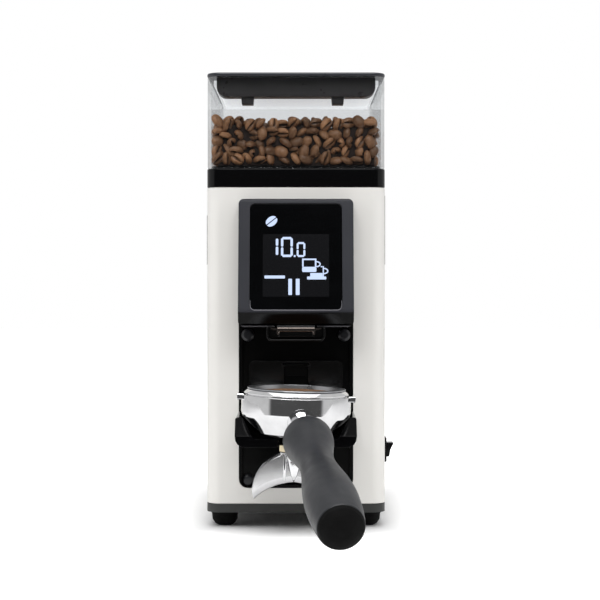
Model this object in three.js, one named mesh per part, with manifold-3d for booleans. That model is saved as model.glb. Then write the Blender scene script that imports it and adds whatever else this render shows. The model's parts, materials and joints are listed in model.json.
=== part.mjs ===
// Burr coffee grinder with a bean hopper, a touch display and a portafilter in its fork.
// Millimetres, +Z up, front towards -Y, X = 0 on the body's middle plane.
import * as THREE from 'three';
import { mergeVertices } from 'three/addons/utils/BufferGeometryUtils.js';
import Module from 'manifold-3d';

const wasm = await Module();
wasm.setup();

// ---- Driving dimensions ------------------------------------------------------------------
// Inside the body's group y = 0 is the body's front plane and +y runs to the rear.

const GAP = 0.3;
const FRONT_PLANE_Y = 26;

const BODY = { width: 130, depth: 185, corner: 10, sheet: 1.5 };
const FOOT_TOP = 11.3;
const BASE_BOTTOM = 11.6;
const BASE_TOP = 17.8;
const SHELL_TOP = 247.6;
const COLLAR_BOTTOM = 247.9;
const COLLAR_TOP = 261.4;
const HOPPER_BOTTOM = 261.7;
const HOPPER_TOP = 328.2;
const HOPPER_WALL = 2.6;
const LID_TOP = 331.4;

const FOOT = { x: 52.5, front: 20, rear: 165, radius: 10.35, pad: 5 };
const CUTOUT = { halfWidth: 41.5, bottom: 29.4, top: 239.2, corner: 6.5 };
const PANEL = { front: 5, back: 8, halfWidth: 46, bottom: 23, top: 244 };
const PEG = { x: 35, radius: 4.6, upper: 140.5, lower: 34.5 };

const BEZEL = { halfWidth: 41.15, top: 238.8, bottom: 147, wall: 2.5, back: 4.7 };
const BEZEL_TOP_Y = -11;
const CREASE = { y: -27, z: 158 };
const GLASS = { width: 65.5, height: 77.5, thick: 2, corner: 3.6, foot: 1.3 };

const SHROUD = { halfWidth: 20.8, bottom: 137, front: -24, wall: 1.2 };
const NOZZLE = { halfWidth: 13.7, front: -22.2, back: -7, bottom: 139.5, top: 146.7, wall: 1.6 };
const CHUTE = { halfWidth: 13.5, wall: 1.5, mouth: 147, entry: 37.5 };

const CELL_PLATE = { halfWidth: 33.7, bottom: 88, top: 121.7, front: -1.2, wall: 1.6 };
const PADDLE = { halfWidth: 8.1, pinY: 1, pinZ: 117.5, pinRadius: 1.4, noseY: -9.2, noseZ: 105 };

const MICROSWITCH = { halfWidth: 14, front: 11, back: 22, bottom: 96, top: 116 };

const FORK = {
  halfWidth: 42, rootHalfWidth: 38.8, wing: 5.2, top: 85.5, floor: 71.4, bottom: 65.5, front: -60, slot: 12.6,
};
const BASKET_CENTRE = { x: 0.5, y: -48, z: 105.4 };
const PORTAFILTER_ROLL = THREE.MathUtils.degToRad(1.7);
const CUP_RADIUS = 38;
const HANDLE = { x: 8, y: -108, z: 78, drop: 15.5, yaw: 8.8, radius: 16.4 };

const SHAFT_Y = 80;
const MOTOR = { radius: 43, bottom: 66, top: 186 };
const SHAFT_RADIUS = 6;
const CHAMBER = { bottom: 196, top: 224, outer: 42, cavity: 38.6, bore: 34 };
const BURR = { outer: 31.7, inner: 18.5, thick: 7, teeth: 12, lowerBottom: 209.3, gap: 0.8 };
const GEAR = { module: 1.5, ringTeeth: 60, wheelTeeth: 10, bottom: 224.6, top: 231.6 };
const THUMBWHEEL = { radius: 15, bottom: 233.4, top: 241.4, play: 1 };
const THROAT_RADIUS = 18.5;

const GATE = {
  halfWidth: 24, tabHalfWidth: 12, bottom: 253.2, top: 255.4, front: 18, shoulder: 128, back: 194,
};
const GATE_LIP = { rise: 5, thick: 3 };
const BEAN_TOP = 301.5;
const LINER = { halfWidth: 58, front: 7, back: 22, top: HOPPER_TOP, bottom: 314.4, wall: 1.8, clip: 309 };
const SEAL = { inset: 4, bottom: 324.2, wall: 2 };

const ROCKER = { y: 33, z: 54, pivotX: 65 };
const INLET = { z: 52, halfWidth: 15.5, halfHeight: 12 };
const REAR_COVER = { halfWidth: 60, bottom: 20, top: 246, front: BODY.depth + GAP, thick: 1.5 };
const REAR_SCREWS = [[-55, 28], [55, 28], [-55, 238], [55, 238]];

const ROUND_STEPS = 24;
const ARC_STEPS = 5;

// ---- Finishes ------------------------------------------------------------------------------

const FINISHES = {
  paint: { color: 0xe9e6e0, roughness: 0.45, metalness: 0 },
  satinBlack: { color: 0x3a3c40, roughness: 0.45, metalness: 0 },
  glossBlack: { color: 0x0c0c0e, roughness: 0.12, metalness: 0 },
  panelBlack: { color: 0x141414, roughness: 0.5, metalness: 0 },
  baseGrey: { color: 0x35363a, roughness: 0.6, metalness: 0 },
  rubber: { color: 0x151515, roughness: 0.85, metalness: 0 },
  softGrip: { color: 0x2e3033, roughness: 0.7, metalness: 0 },
  clear: { color: 0xdfe6ec, roughness: 0.05, metalness: 0 },
  glass: { color: 0x050608, roughness: 0.05, metalness: 0 },
  chrome: { color: 0xe6e6e8, roughness: 0.06, metalness: 1 },
  darkChrome: { color: 0x6a6663, roughness: 0.18, metalness: 1 },
  steel: { color: 0xb4b6ba, roughness: 0.3, metalness: 1 },
  castAluminium: { color: 0x9a9c9f, roughness: 0.5, metalness: 1 },
  brass: { color: 0xb5914a, roughness: 0.35, metalness: 1 },
  copper: { color: 0xa3592c, roughness: 0.4, metalness: 1 },
  circuitBoard: { color: 0x1f5a35, roughness: 0.6, metalness: 0 },
  seal: { color: 0xd9dbdc, roughness: 0.6, metalness: 0 },
  roastedBean: { color: 0x6b4428, roughness: 0.55, metalness: 0 },
  groundCoffee: { color: 0x5a3b25, roughness: 0.95, metalness: 0 },
};

// ---- Building blocks -----------------------------------------------------------------------

const X_AXIS = new THREE.Vector3(1, 0, 0);
const Y_AXIS = new THREE.Vector3(0, 1, 0);
const Z_AXIS = new THREE.Vector3(0, 0, 1);

/** Six times the signed volume that a list of triangle corners encloses. */
function signedVolume(points, corners) {
  const [a, b, c] = [new THREE.Vector3(), new THREE.Vector3(), new THREE.Vector3()];
  let total = 0;
  for (let i = 0; i < corners.length; i += 3) {
    a.fromArray(points, 3 * corners[i]);
    b.fromArray(points, 3 * corners[i + 1]);
    c.fromArray(points, 3 * corners[i + 2]);
    total += a.dot(b.cross(c));
  }
  return total;
}

/** A closed three.js geometry as a solid whose faces point outward. */
function solid(geometry) {
  geometry.deleteAttribute('normal');
  geometry.deleteAttribute('uv');
  const merged = mergeVertices(geometry, 1e-4);
  const points = merged.attributes.position.array;
  const corners = [];
  for (let i = 0; i < merged.index.count; i += 3) {
    const triangle = [0, 1, 2].map((k) => merged.index.getX(i + k));
    if (new Set(triangle).size === 3) corners.push(...triangle);
  }
  if (signedVolume(points, corners) < 0) corners.reverse();
  const vertProperties = new Float32Array(points);
  const triVerts = new Uint32Array(corners);
  return new wasm.Manifold(new wasm.Mesh({ numProp: 3, vertProperties, triVerts }));
}

function extruded(shape, depth, steps) {
  return new THREE.ExtrudeGeometry(shape, { depth, bevelEnabled: false, curveSegments: steps });
}

/** A shape drawn in X and Y, raised from z0 to z1. */
function raised(shape, z0, z1, steps = ARC_STEPS) {
  return solid(extruded(shape, z1 - z0, steps).translate(0, 0, z0));
}

/** A shape drawn in X and Z, running back from y0 to y1. */
function deep(shape, y0, y1, steps = ARC_STEPS) {
  return solid(extruded(shape, y1 - y0, steps).rotateX(Math.PI / 2).translate(0, y1, 0));
}

/** A shape drawn in Y and Z, running across from x0 to x1. */
function across(shape, x0, x1, steps = ARC_STEPS) {
  const turn = new THREE.Matrix4().makeBasis(Y_AXIS, Z_AXIS, X_AXIS);
  return solid(extruded(shape, x1 - x0, steps).applyMatrix4(turn).translate(x0, 0, 0));
}

/** A box between its lowest and highest corners. */
function block([x0, y0, z0], [x1, y1, z1]) {
  const box = new THREE.BoxGeometry(x1 - x0, y1 - y0, z1 - z0);
  return solid(box.translate((x0 + x1) / 2, (y0 + y1) / 2, (z0 + z1) / 2));
}

/** A turned solid about the vertical through (x, y), from a profile of [radius, z]. */
function turned(profile, x = 0, y = 0, steps = ROUND_STEPS) {
  const points = profile.map(([radius, z]) => new THREE.Vector2(radius, z));
  return solid(new THREE.LatheGeometry(points, steps).rotateX(Math.PI / 2).translate(x, y, 0));
}

/** A turned solid about the line through (x, z) that runs back, from a profile of [radius, y]. */
function turnedDeep(profile, x, z, steps = ROUND_STEPS) {
  const points = profile.map(([radius, y]) => new THREE.Vector2(radius, y));
  return solid(new THREE.LatheGeometry(points, steps).translate(x, 0, z));
}

function disc(radius, z0, z1, x = 0, y = 0, steps = ROUND_STEPS) {
  return turned([[0, z0], [radius, z0], [radius, z1], [0, z1]], x, y, steps);
}

function ring(inner, outer, z0, z1, x = 0, y = 0, steps = ROUND_STEPS) {
  return turned([[inner, z0], [outer, z0], [outer, z1], [inner, z1], [inner, z0]], x, y, steps);
}

/** A round bar between two points. */
function rod(radius, from, to, steps = 16) {
  const start = new THREE.Vector3(...from);
  const span = new THREE.Vector3(...to).sub(start);
  const bar = new THREE.CylinderGeometry(radius, radius, span.length(), steps);
  bar.applyQuaternion(new THREE.Quaternion().setFromUnitVectors(Y_AXIS, span.clone().normalize()));
  const middle = start.addScaledVector(span, 0.5);
  return solid(bar.translate(middle.x, middle.y, middle.z));
}

/** A closed outline through corners, each [u, v] or [u, v, radius of its rounding]. */
function outline(corners) {
  const shape = new THREE.Shape();
  corners.forEach(([u, v, radius = 0], i) => {
    const corner = new THREE.Vector2(u, v);
    const before = new THREE.Vector2(...corners.at(i - 1).slice(0, 2));
    const after = new THREE.Vector2(...corners[(i + 1) % corners.length].slice(0, 2));
    const arcStart = before.sub(corner).setLength(radius).add(corner);
    const arcEnd = after.sub(corner).setLength(radius).add(corner);
    if (i === 0) shape.moveTo(arcStart.x, arcStart.y);
    else shape.lineTo(arcStart.x, arcStart.y);
    if (radius > 0) shape.quadraticCurveTo(u, v, arcEnd.x, arcEnd.y);
  });
  shape.closePath();
  return shape;
}

/** A rectangle [u0, u1] x [v0, v1] with circular corners; the low pair can differ. */
function rounded([u0, u1], [v0, v1], radius, lowRadius = radius) {
  const shape = new THREE.Shape();
  shape.moveTo(u0 + lowRadius, v0);
  shape.absarc(u1 - lowRadius, v0 + lowRadius, lowRadius, -Math.PI / 2, 0);
  shape.absarc(u1 - radius, v1 - radius, radius, 0, Math.PI / 2);
  shape.absarc(u0 + radius, v1 - radius, radius, Math.PI / 2, Math.PI);
  shape.absarc(u0 + lowRadius, v0 + lowRadius, lowRadius, Math.PI, 1.5 * Math.PI);
  shape.closePath();
  return shape;
}

/** The body's plan outline, pulled in by an inset. */
function plan(inset = 0) {
  const half = BODY.width / 2 - inset;
  return rounded([-half, half], [inset, BODY.depth - inset], Math.max(BODY.corner - inset, 1));
}

/** A spur gear outline about (x, y): straight flanks with running clearance. */
function gearOutline(teeth, x, y, firstTooth = 0) {
  const pitchRadius = (GEAR.module * teeth) / 2;
  const tip = pitchRadius + 0.8 * GEAR.module;
  const root = pitchRadius - 1.2 * GEAR.module;
  const pitchAngle = (2 * Math.PI) / teeth;
  const flanks = [[root, -0.29], [tip, -0.1], [tip, 0.1], [root, 0.29]];
  const corners = [];
  for (let tooth = 0; tooth < teeth; tooth += 1) {
    for (const [radius, share] of flanks) {
      const angle = (tooth + firstTooth + share) * pitchAngle;
      corners.push([x + radius * Math.cos(angle), y + radius * Math.sin(angle)]);
    }
  }
  return outline(corners);
}

/** A named mesh of one solid with a material of its own. */
function piece(name, shape, finish) {
  const { vertProperties, triVerts } = shape.getMesh();
  const geometry = new THREE.BufferGeometry();
  geometry.setAttribute('position', new THREE.BufferAttribute(vertProperties, 3));
  geometry.setIndex(new THREE.BufferAttribute(triVerts, 1));
  geometry.computeVertexNormals();
  const mesh = new THREE.Mesh(geometry, new THREE.MeshStandardMaterial(FINISHES[finish]));
  mesh.name = name;
  return mesh;
}

const SIDES = [['left', -1], ['right', 1]];

// ---- Stand and casing ------------------------------------------------------------------------

function makeFeet() {
  const profile = [
    [0, 0], [FOOT.pad, 0], [7.4, 1.2], [9.2, 4], [9.7, 8.6], [FOOT.radius, 9], [FOOT.radius, FOOT_TOP],
    [2.4, FOOT_TOP], [2.4, FOOT_TOP + 3], [0, FOOT_TOP + 3],
  ];
  const feet = [];
  for (const [side, sign] of SIDES) {
    for (const end of ['front', 'rear']) {
      feet.push(piece(`foot_${end}_${side}`, turned(profile, sign * FOOT.x, FOOT[end], 20), 'rubber'));
    }
  }
  return feet;
}

function makeBasePlate() {
  const floorTop = BASE_BOTTOM + 3;
  let tray = raised(plan(), BASE_BOTTOM, BASE_TOP).subtract(raised(plan(2.5), floorTop, BASE_TOP + 1));
  for (const [, sign] of SIDES) {
    for (const y of [FOOT.front, FOOT.rear]) {
      tray = tray.subtract(disc(2.8, BASE_BOTTOM - 1, floorTop + 1, sign * FOOT.x, y, 12));
    }
  }
  for (let slot = -3; slot <= 3; slot += 1) {
    const x = slot * 9;
    tray = tray.subtract(block([x - 2, 55, BASE_BOTTOM - 1], [x + 2, 105, floorTop + 1]));
  }
  return piece('base_plate', tray, 'baseGrey');
}

/** Sheet-steel frame: a floor, two uprights and the shelves that carry the grinding chamber. */
function makeChassis() {
  const floor = BASE_BOTTOM + 3 + GAP;
  let frame = block([-58, 8, floor], [58, 176, floor + 2]);
  for (const [, sign] of SIDES) {
    const spans = (near, far) => (sign > 0 ? [near, far] : [-far, -near]);
    const [x0, x1] = spans(56, 58);
    const [s0, s1] = spans(44, 58);
    frame = frame.add(block([x0, 52, floor], [x1, 108, 204]));
    frame = frame.add(block([s0, 52, 193.4], [s1, 108, CHAMBER.bottom - GAP]));
  }
  frame = frame.subtract(block([-30, 55, floor - 1], [30, 105, floor + 3]));
  return piece('chassis', frame, 'steel');
}

/** The slot that the grind thumbwheel's rim stands out through. */
function thumbwheelWindow(x0, x1) {
  const { bottom, top, play } = THUMBWHEEL;
  return block([x0, SHAFT_Y - 14, bottom - play], [x1, SHAFT_Y + 14, top + play]);
}

/** Painted sheet wrapped round the front and sides, with flanges that the rear cover meets. */
function makeShell() {
  const bottom = BASE_TOP + GAP;
  let wrap = raised(plan(), bottom, SHELL_TOP);
  wrap = wrap.subtract(raised(plan(BODY.sheet), bottom - 1, SHELL_TOP + 1));
  wrap = wrap.subtract(block([-50, 150, bottom - 1], [50, BODY.depth + 1, SHELL_TOP + 1]));
  const window = rounded(
    [-CUTOUT.halfWidth, CUTOUT.halfWidth], [CUTOUT.bottom, CUTOUT.top], 3.8, CUTOUT.corner);
  wrap = wrap.subtract(deep(window, -1, 3));
  const wheelSlot = thumbwheelWindow(50, 70);
  const ventSlot = block([-70, SHAFT_Y - 24, 196], [-60, SHAFT_Y + 24, 226]);
  const switchHole = block([60, ROCKER.y - 6, ROCKER.z - 8], [70, ROCKER.y + 6, ROCKER.z + 8]);
  return piece('body_shell', wrap.subtract(wheelSlot).subtract(ventSlot).subtract(switchHole), 'paint');
}

function makeRearCover() {
  const { halfWidth, bottom, top, front, thick } = REAR_COVER;
  let cover = deep(rounded([-halfWidth, halfWidth], [bottom, top], 3), front, front + thick, 3);
  for (let row = 0; row < 8; row += 1) {
    const z = 96 + row * 10;
    cover = cover.subtract(block([-32, front - 1, z], [32, front + thick + 1, z + 4]));
  }
  const { halfWidth: w, halfHeight: h, z } = INLET;
  cover = cover.subtract(block([-w + 3, front - 1, z - h + 3], [w - 3, front + thick + 1, z + h - 3]));
  return piece('rear_cover', cover, 'satinBlack');
}

function makeRearScrews() {
  const seat = REAR_COVER.front + REAR_COVER.thick + GAP;
  return REAR_SCREWS.map(([x, z], i) => {
    const dome = [[0, seat], [3.6, seat], [3.4, seat + 1.3], [2, seat + 1.9], [0, seat + 1.9]];
    const head = turnedDeep(dome, x, z, 16);
    const slot = block([x - 2.4, seat + 1.1, z - 0.4], [x + 2.4, seat + 3, z + 0.4]);
    return piece(`rear_cover_screw_${i + 1}`, head.subtract(slot), 'steel');
  });
}

/** Black panel behind the shell's cut-out, with a lip that lines the cut-out's edge. */
function makeFrontPanel() {
  const { front, back, halfWidth, bottom, top } = PANEL;
  const edge = CUTOUT.halfWidth - GAP;
  const lipTop = CUTOUT.top - GAP;
  const lipBottom = CUTOUT.bottom + GAP;
  let panel = deep(rounded([-halfWidth, halfWidth], [bottom, top], 3), front, back, 3);
  let lip = deep(rounded([-edge, edge], [lipBottom, lipTop], 3.6, CUTOUT.corner), 0.4, front + 1);
  const lipHole = rounded([2 - edge, edge - 2], [lipBottom + 2, lipTop - 2], 2, CUTOUT.corner - 2);
  lip = lip.subtract(deep(lipHole, -1, front + 2));
  lip = lip.subtract(block([-50, -1, BEZEL.bottom - GAP], [50, front - GAP, lipTop + 1]));
  for (const z of [PEG.upper, PEG.lower]) {
    for (const [, sign] of SIDES) {
      const seat = turnedDeep([[0, -1], [PEG.radius + GAP, -1], [PEG.radius + GAP, front], [0, front]],
        sign * PEG.x, z, 20);
      lip = lip.subtract(seat);
    }
  }
  panel = panel.add(lip);
  const chuteHole = block([-15, front - 1, 158], [15, back + 1, 192]);
  const paddleHole = block([-9, front - 1, 94], [9, back + 1, 121]);
  return piece('front_panel', panel.subtract(chuteHole).subtract(paddleHole), 'panelBlack');
}

/** Round caps over the front panel's screws. */
function makePanelPegs() {
  const seat = PANEL.front - GAP;
  const heads = [['upper', PEG.upper, -2.5], ['lower', PEG.lower, 1.8]];
  return heads.flatMap(([level, z, nose]) => SIDES.map(([side, sign]) => {
    const rim = nose + 1.4;
    const profile = [[0, nose], [PEG.radius - 1.6, nose], [PEG.radius, rim], [PEG.radius, seat], [0, seat]];
    return piece(`panel_peg_${level}_${side}`, turnedDeep(profile, sign * PEG.x, z, 20), 'panelBlack');
  }));
}

/** Glossy top cover: a deck with the bean throat in it and the rim that the hopper stands on. */
function makeCollar() {
  const deckTop = COLLAR_BOTTOM + 2.2;
  let cover = raised(plan(), COLLAR_BOTTOM, COLLAR_TOP).subtract(raised(plan(3), deckTop, COLLAR_TOP + 1));
  cover = cover.subtract(disc(23, COLLAR_BOTTOM - 1, deckTop + 1, 0, SHAFT_Y));
  const notchHalf = GATE.tabHalfWidth + 2;
  const notch = block([-notchHalf, 150, GATE.bottom - 1.2], [notchHalf, 190, COLLAR_TOP + 1]);
  return piece('collar', cover.subtract(notch), 'glossBlack');
}

/** Louvred plate on the left flank, over the motor compartment's air opening. */
function makeVentPlate() {
  const x1 = -BODY.width / 2 - GAP;
  const face = outline([[52, 192], [108, 188, 2], [108, 233.6, 2], [52, 229.6]]);
  let plate = across(face, x1 - 2.6, x1);
  for (let row = 0; row < 5; row += 1) {
    const z = 197 + row * 6.4;
    plate = plate.subtract(block([x1 - 4, 60, z], [x1 + 1, 100, z + 2.6]));
  }
  return piece('vent_plate', plate, 'satinBlack');
}

/** Cover on the right flank, with the window that the grind thumbwheel shows through. */
function makeAdjusterCover() {
  const x0 = BODY.width / 2 + GAP;
  const face = outline([[56, 192], [104, 188, 2], [104, 245, 2], [56, 245, 2]]);
  const cover = across(face, x0, x0 + 2.6);
  return piece('adjuster_cover', cover.subtract(thumbwheelWindow(x0 - 1, x0 + 4)), 'satinBlack');
}

// ---- Display and outlet ----------------------------------------------------------------------

/** The bezel's side outline, pulled in by a wall; the rear edge stays open for a cavity. */
function bezelSide(inset, back) {
  return outline([
    [back, BEZEL.top - inset],
    [BEZEL_TOP_Y + inset, BEZEL.top - inset, inset ? 0 : 2],
    [CREASE.y + inset, CREASE.z, inset ? 0 : 2],
    [CREASE.y + 4 + inset, BEZEL.bottom + 2.4 + inset / 2],
    [CREASE.y + 7.5 + inset, BEZEL.bottom + inset],
    [back, BEZEL.bottom + inset],
  ]);
}

const FACE_SLOPE = Math.atan2(BEZEL_TOP_Y - CREASE.y, BEZEL.top - CREASE.z);

/** A plate parallel to the bezel's face: sunk is how far its front lies behind the face. */
function facePlate(width, height, corner, rise, sunk, thick) {
  const shape = rounded([-width / 2, width / 2], [rise, rise + height], corner);
  const plate = extruded(shape, thick, 4).rotateX(Math.PI / 2 - FACE_SLOPE);
  const backward = new THREE.Vector3(0, Math.cos(FACE_SLOPE), -Math.sin(FACE_SLOPE));
  backward.multiplyScalar(sunk + thick);
  return solid(plate.translate(0, CREASE.y + backward.y, CREASE.z + backward.z));
}

function makeBezel() {
  const { halfWidth, top, bottom, wall, back } = BEZEL;
  const front = deep(rounded([-halfWidth, halfWidth], [bottom, top], 3.6, 4.5), -40, back);
  let housing = across(bezelSide(0, back), -halfWidth - 1, halfWidth + 1).intersect(front);
  housing = housing.subtract(across(bezelSide(wall, back + 1), wall - halfWidth, halfWidth - wall));
  const play = 2 * GAP;
  housing = housing.subtract(
    facePlate(GLASS.width + play, GLASS.height + play, GLASS.corner + GAP, GLASS.foot - GAP, -1, 4));
  housing = housing.subtract(block([-15, -21, bottom - 1], [15, back + 1, bottom + 6]));
  return piece('display_bezel', housing, 'satinBlack');
}

function makeGlass() {
  const glass = facePlate(GLASS.width, GLASS.height, GLASS.corner, GLASS.foot, 0.2, GLASS.thick);
  return piece('display_glass', glass, 'glass');
}

/** Screen module behind the glass: the lit panel on its circuit board. */
function makeDisplayModule() {
  const depth = GLASS.thick + 0.2 + GAP;
  const panel = facePlate(56, 62, 1, GLASS.foot + 9, depth, 2.5);
  const board = facePlate(62, 70, 1, GLASS.foot + 5, depth + 2, 1.6);
  return piece('display_module', panel.add(board), 'circuitBoard');
}

/** Sloping duct that the ground coffee slides down, from the chamber to the outlet. */
function makeChute() {
  const { halfWidth, wall, mouth, entry } = CHUTE;
  const side = (inset, end) => outline([
    [entry + end, 199.5 + inset], [-9 - inset, mouth + 0.3], [-9 - inset, mouth - end],
    [-20 + inset, mouth - end], [-20 + inset, mouth + 9],
    [entry - 6, 218.5 - inset], [entry + end, 218.5 - inset],
  ]);
  const duct = across(side(0, 0), -halfWidth, halfWidth);
  return piece('chute', duct.subtract(across(side(wall, 2), wall - halfWidth, halfWidth - wall)), 'steel');
}

/** Hood under the bezel: a short tunnel, open to the front and through its floor. */
function makeShroud() {
  const { halfWidth: w, bottom, front, wall } = SHROUD;
  const top = BEZEL.bottom - GAP;
  const back = PANEL.front - GAP;
  const outer = deep(rounded([-w, w], [bottom, top + 12], 3.8), front, back);
  const tunnel = rounded([wall - w, w - wall], [bottom + wall, top + 20], 2.8);
  let hood = outer.subtract(deep(tunnel, front - 1, back - 2));
  hood = hood.subtract(block([-w - 1, front - 2, top], [w + 1, back + 1, top + 20]));
  hood = hood.subtract(block([-15, front + 2, bottom - 1], [15, -4, bottom + 3]));
  return piece('outlet_shroud', hood, 'satinBlack');
}

/** Metal lip that guides the stream of ground coffee, hung from the bezel by two ears. */
function makeNozzle() {
  const { halfWidth: w, front, back, bottom, top, wall } = NOZZLE;
  let frame = block([-w, front, bottom], [w, back, top]);
  frame = frame.subtract(block([wall - w, front + wall, bottom - 1], [w - wall, back - wall, top + 1]));
  for (const [, sign] of SIDES) {
    const x = sign * (w + 2);
    frame = frame.add(block([x - 2.6, -17, top - 1.8], [x + 2.6, -11, top]));
  }
  return piece('outlet_nozzle', frame, 'darkChrome');
}

// ---- Start switch behind the portafilter --------------------------------------------------------

/** Plate with two pockets and a middle bay that the start paddle hangs in. */
function makeCellPlate() {
  const { halfWidth: w, bottom, top, front, wall } = CELL_PLATE;
  const back = PANEL.front - GAP;
  let plate = deep(rounded([-w, w], [bottom, top], 3.6), front, back);
  const bayHalf = PADDLE.halfWidth + 0.5;
  for (const [, sign] of SIDES) {
    const spans = [sign * (bayHalf + wall), sign * (w - wall)].sort((a, b) => a - b);
    plate = plate.subtract(deep(rounded(spans, [bottom + wall, top - wall], 2.4), front - 1, back - 1.4, 3));
  }
  const bay = outline([
    [-bayHalf, bottom + wall], [bayHalf, bottom + wall], [bayHalf, top - 7],
    [bayHalf + 0.9, top - wall], [-bayHalf - 0.9, top - wall], [-bayHalf, top - 7],
  ]);
  plate = plate.subtract(deep(bay, front - 1, back + 1));
  const pinSeat = rod(PADDLE.pinRadius + GAP, [-bayHalf - 1, PADDLE.pinY, PADDLE.pinZ],
    [bayHalf + 1, PADDLE.pinY, PADDLE.pinZ]);
  return piece('cell_plate', plate.subtract(pinSeat), 'panelBlack');
}

/** Paddle that the portafilter's rim presses: hung on its own trunnions, with an arm behind. */
function makePaddle() {
  const { halfWidth: w, pinY, pinZ, pinRadius, noseY, noseZ } = PADDLE;
  const side = outline([
    [pinY - 1.6, pinZ + 2, 1], [pinY - 2.2, 111], [noseY, noseZ, 1], [noseY, noseZ - 8, 1], [-2, 93, 1],
    [pinY + 1.4, 93], [pinY + 1.4, pinZ + 2, 1],
  ]);
  let paddle = across(side, -w, w, 3);
  paddle = paddle.add(rod(pinRadius, [-w - 1.2, pinY, pinZ], [w + 1.2, pinY, pinZ]));
  paddle = paddle.add(block([-3, pinY, 98], [3, 8.6, 103]));
  return piece('switch_paddle', paddle, 'panelBlack');
}

/** Microswitch on its bracket behind the front panel, just clear of the paddle's arm. */
function makeMicroswitch() {
  const { halfWidth: w, front, back, bottom, top } = MICROSWITCH;
  let body = block([-3.2, front, bottom], [3.2, back - 1.5, top]);
  body = body.add(block([-w, back - 2, bottom], [w, back, top]));
  for (const [, sign] of SIDES) {
    const spans = [sign * (w - 3), sign * w].sort((a, b) => a - b);
    body = body.add(block([spans[0], PANEL.back + GAP, bottom], [spans[1], back, top]));
  }
  return piece('microswitch', body, 'panelBlack');
}

/** Cradle for the portafilter, of one section from front to back so that the cup slides out. */
function makeFork() {
  const { halfWidth: w, rootHalfWidth, wing, top, floor, bottom, front, slot } = FORK;
  const back = PANEL.front - GAP;
  const section = outline([
    [-w, bottom, 8], [w, bottom, 8], [w, top, 2], [w - wing, top, 2],
    [29, floor, 1.5], [-29, floor, 1.5], [wing - w, top, 2], [-w, top, 2],
  ]);
  let cradle = deep(section, front, -1, 4);
  const root = block([-rootHalfWidth, -2, bottom], [rootHalfWidth, back, top]);
  cradle = cradle.add(root.intersect(deep(section, -2, back, 4)));
  cradle = cradle.subtract(block([-slot, front - 1, bottom - 1], [slot, -22, top + 1]));
  const noseCut = outline([[front - 1, 90], [front + 13, 90], [front - 1, 72]]);
  return piece('portafilter_fork', cradle.subtract(across(noseCut, -w - 1, w + 1)), 'glossBlack');
}

// ---- Portafilter: z = 0 at the top of its ring, on the basket's axis ------------------------------

function makeCup(neckRoot, neckEnd) {
  let cup = turned([
    [30.4, -0.9], [33.8, -0.9], [36.3, -3.6], [36.3, -4.3], [CUP_RADIUS, -4.7], [CUP_RADIUS, -16.4],
    [36.6, -19.6], [28.6, -30.6], [24, -32.4], [6, -33.2],
    [6, -29.4], [24, -28.4], [30.4, -24.6], [30.4, -0.9],
  ]);
  for (const [, sign] of SIDES) {
    const spans = [sign * 36.5, sign * 41].sort((a, b) => a - b);
    cup = cup.add(block([spans[0], -7, -8.4], [spans[1], 7, -4]));
  }
  return piece('portafilter_cup', cup.add(rod(9, neckRoot, neckEnd, 20)), 'chrome');
}

function makeBasket() {
  const profile = [
    [0, -22.8], [28.4, -22.8], [28.9, 0.3], [34.2, 0.3], [34.2, -0.5], [30, -0.5], [29.6, -23.8], [0, -23.8],
  ];
  return piece('filter_basket', turned(profile), 'steel');
}

function makeGrounds() {
  const profile = [[0, -22.4], [27.9, -22.4], [28.2, -6.6], [22, -5.4], [10, -4.8], [0, -4.6]];
  return piece('coffee_grounds', turned(profile), 'groundCoffee');
}

/** One branch of the spout: a crescent that curves out and down to its tip. */
function spoutBranch(sign, lift, halfDepth) {
  const at = (x, z) => [sign * x, z + lift];
  const shape = new THREE.Shape();
  shape.moveTo(...at(0, -45));
  shape.lineTo(...at(9, -45));
  shape.quadraticCurveTo(...at(26, -53.4), ...at(28.8, -69.4));
  shape.lineTo(...at(27.3, -77.4));
  shape.quadraticCurveTo(...at(18, -66.9), ...at(0, -64.7));
  shape.closePath();
  return deep(shape, -halfDepth, halfDepth, 8);
}

function makeSpout() {
  let spout = spoutBranch(-1, 0, 9.5).add(spoutBranch(1, 0, 9.5));
  for (const [, sign] of SIDES) {
    const hollow = spoutBranch(sign, 1.9, 8).subtract(block([-9, -10, -60], [9, 10, -40]));
    spout = spout.subtract(hollow.translate([sign * 1.2, 0, 0]));
  }
  spout = spout.add(disc(10.6, -50, -33.6, 0, 0, 24));
  spout = spout.subtract(disc(4.5, -62, -33, 0, 0, 16));
  return piece('spout', spout, 'chrome');
}

/** Grip, turned about its own +Z: z = 0 where it meets the cup's neck, z = length at its domed end. */
function makeHandle() {
  const grip = turned([
    [0, 0], [13.4, 0], [15.6, 1.6], [HANDLE.radius, 5.4], [16.1, 13], [14.2, 23], [12.2, 35], [11.4, 46],
    [11.8, 57], [13.4, 71], [15.4, 87], [HANDLE.radius, 104], [15.8, 121], [15, 130], [14, 137],
    [12.6, 139.6], [9, 142.4], [5, 144.2], [0, 144.8],
  ], 0, 0, 24);
  return piece('portafilter_handle', grip, 'softGrip');
}

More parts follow.
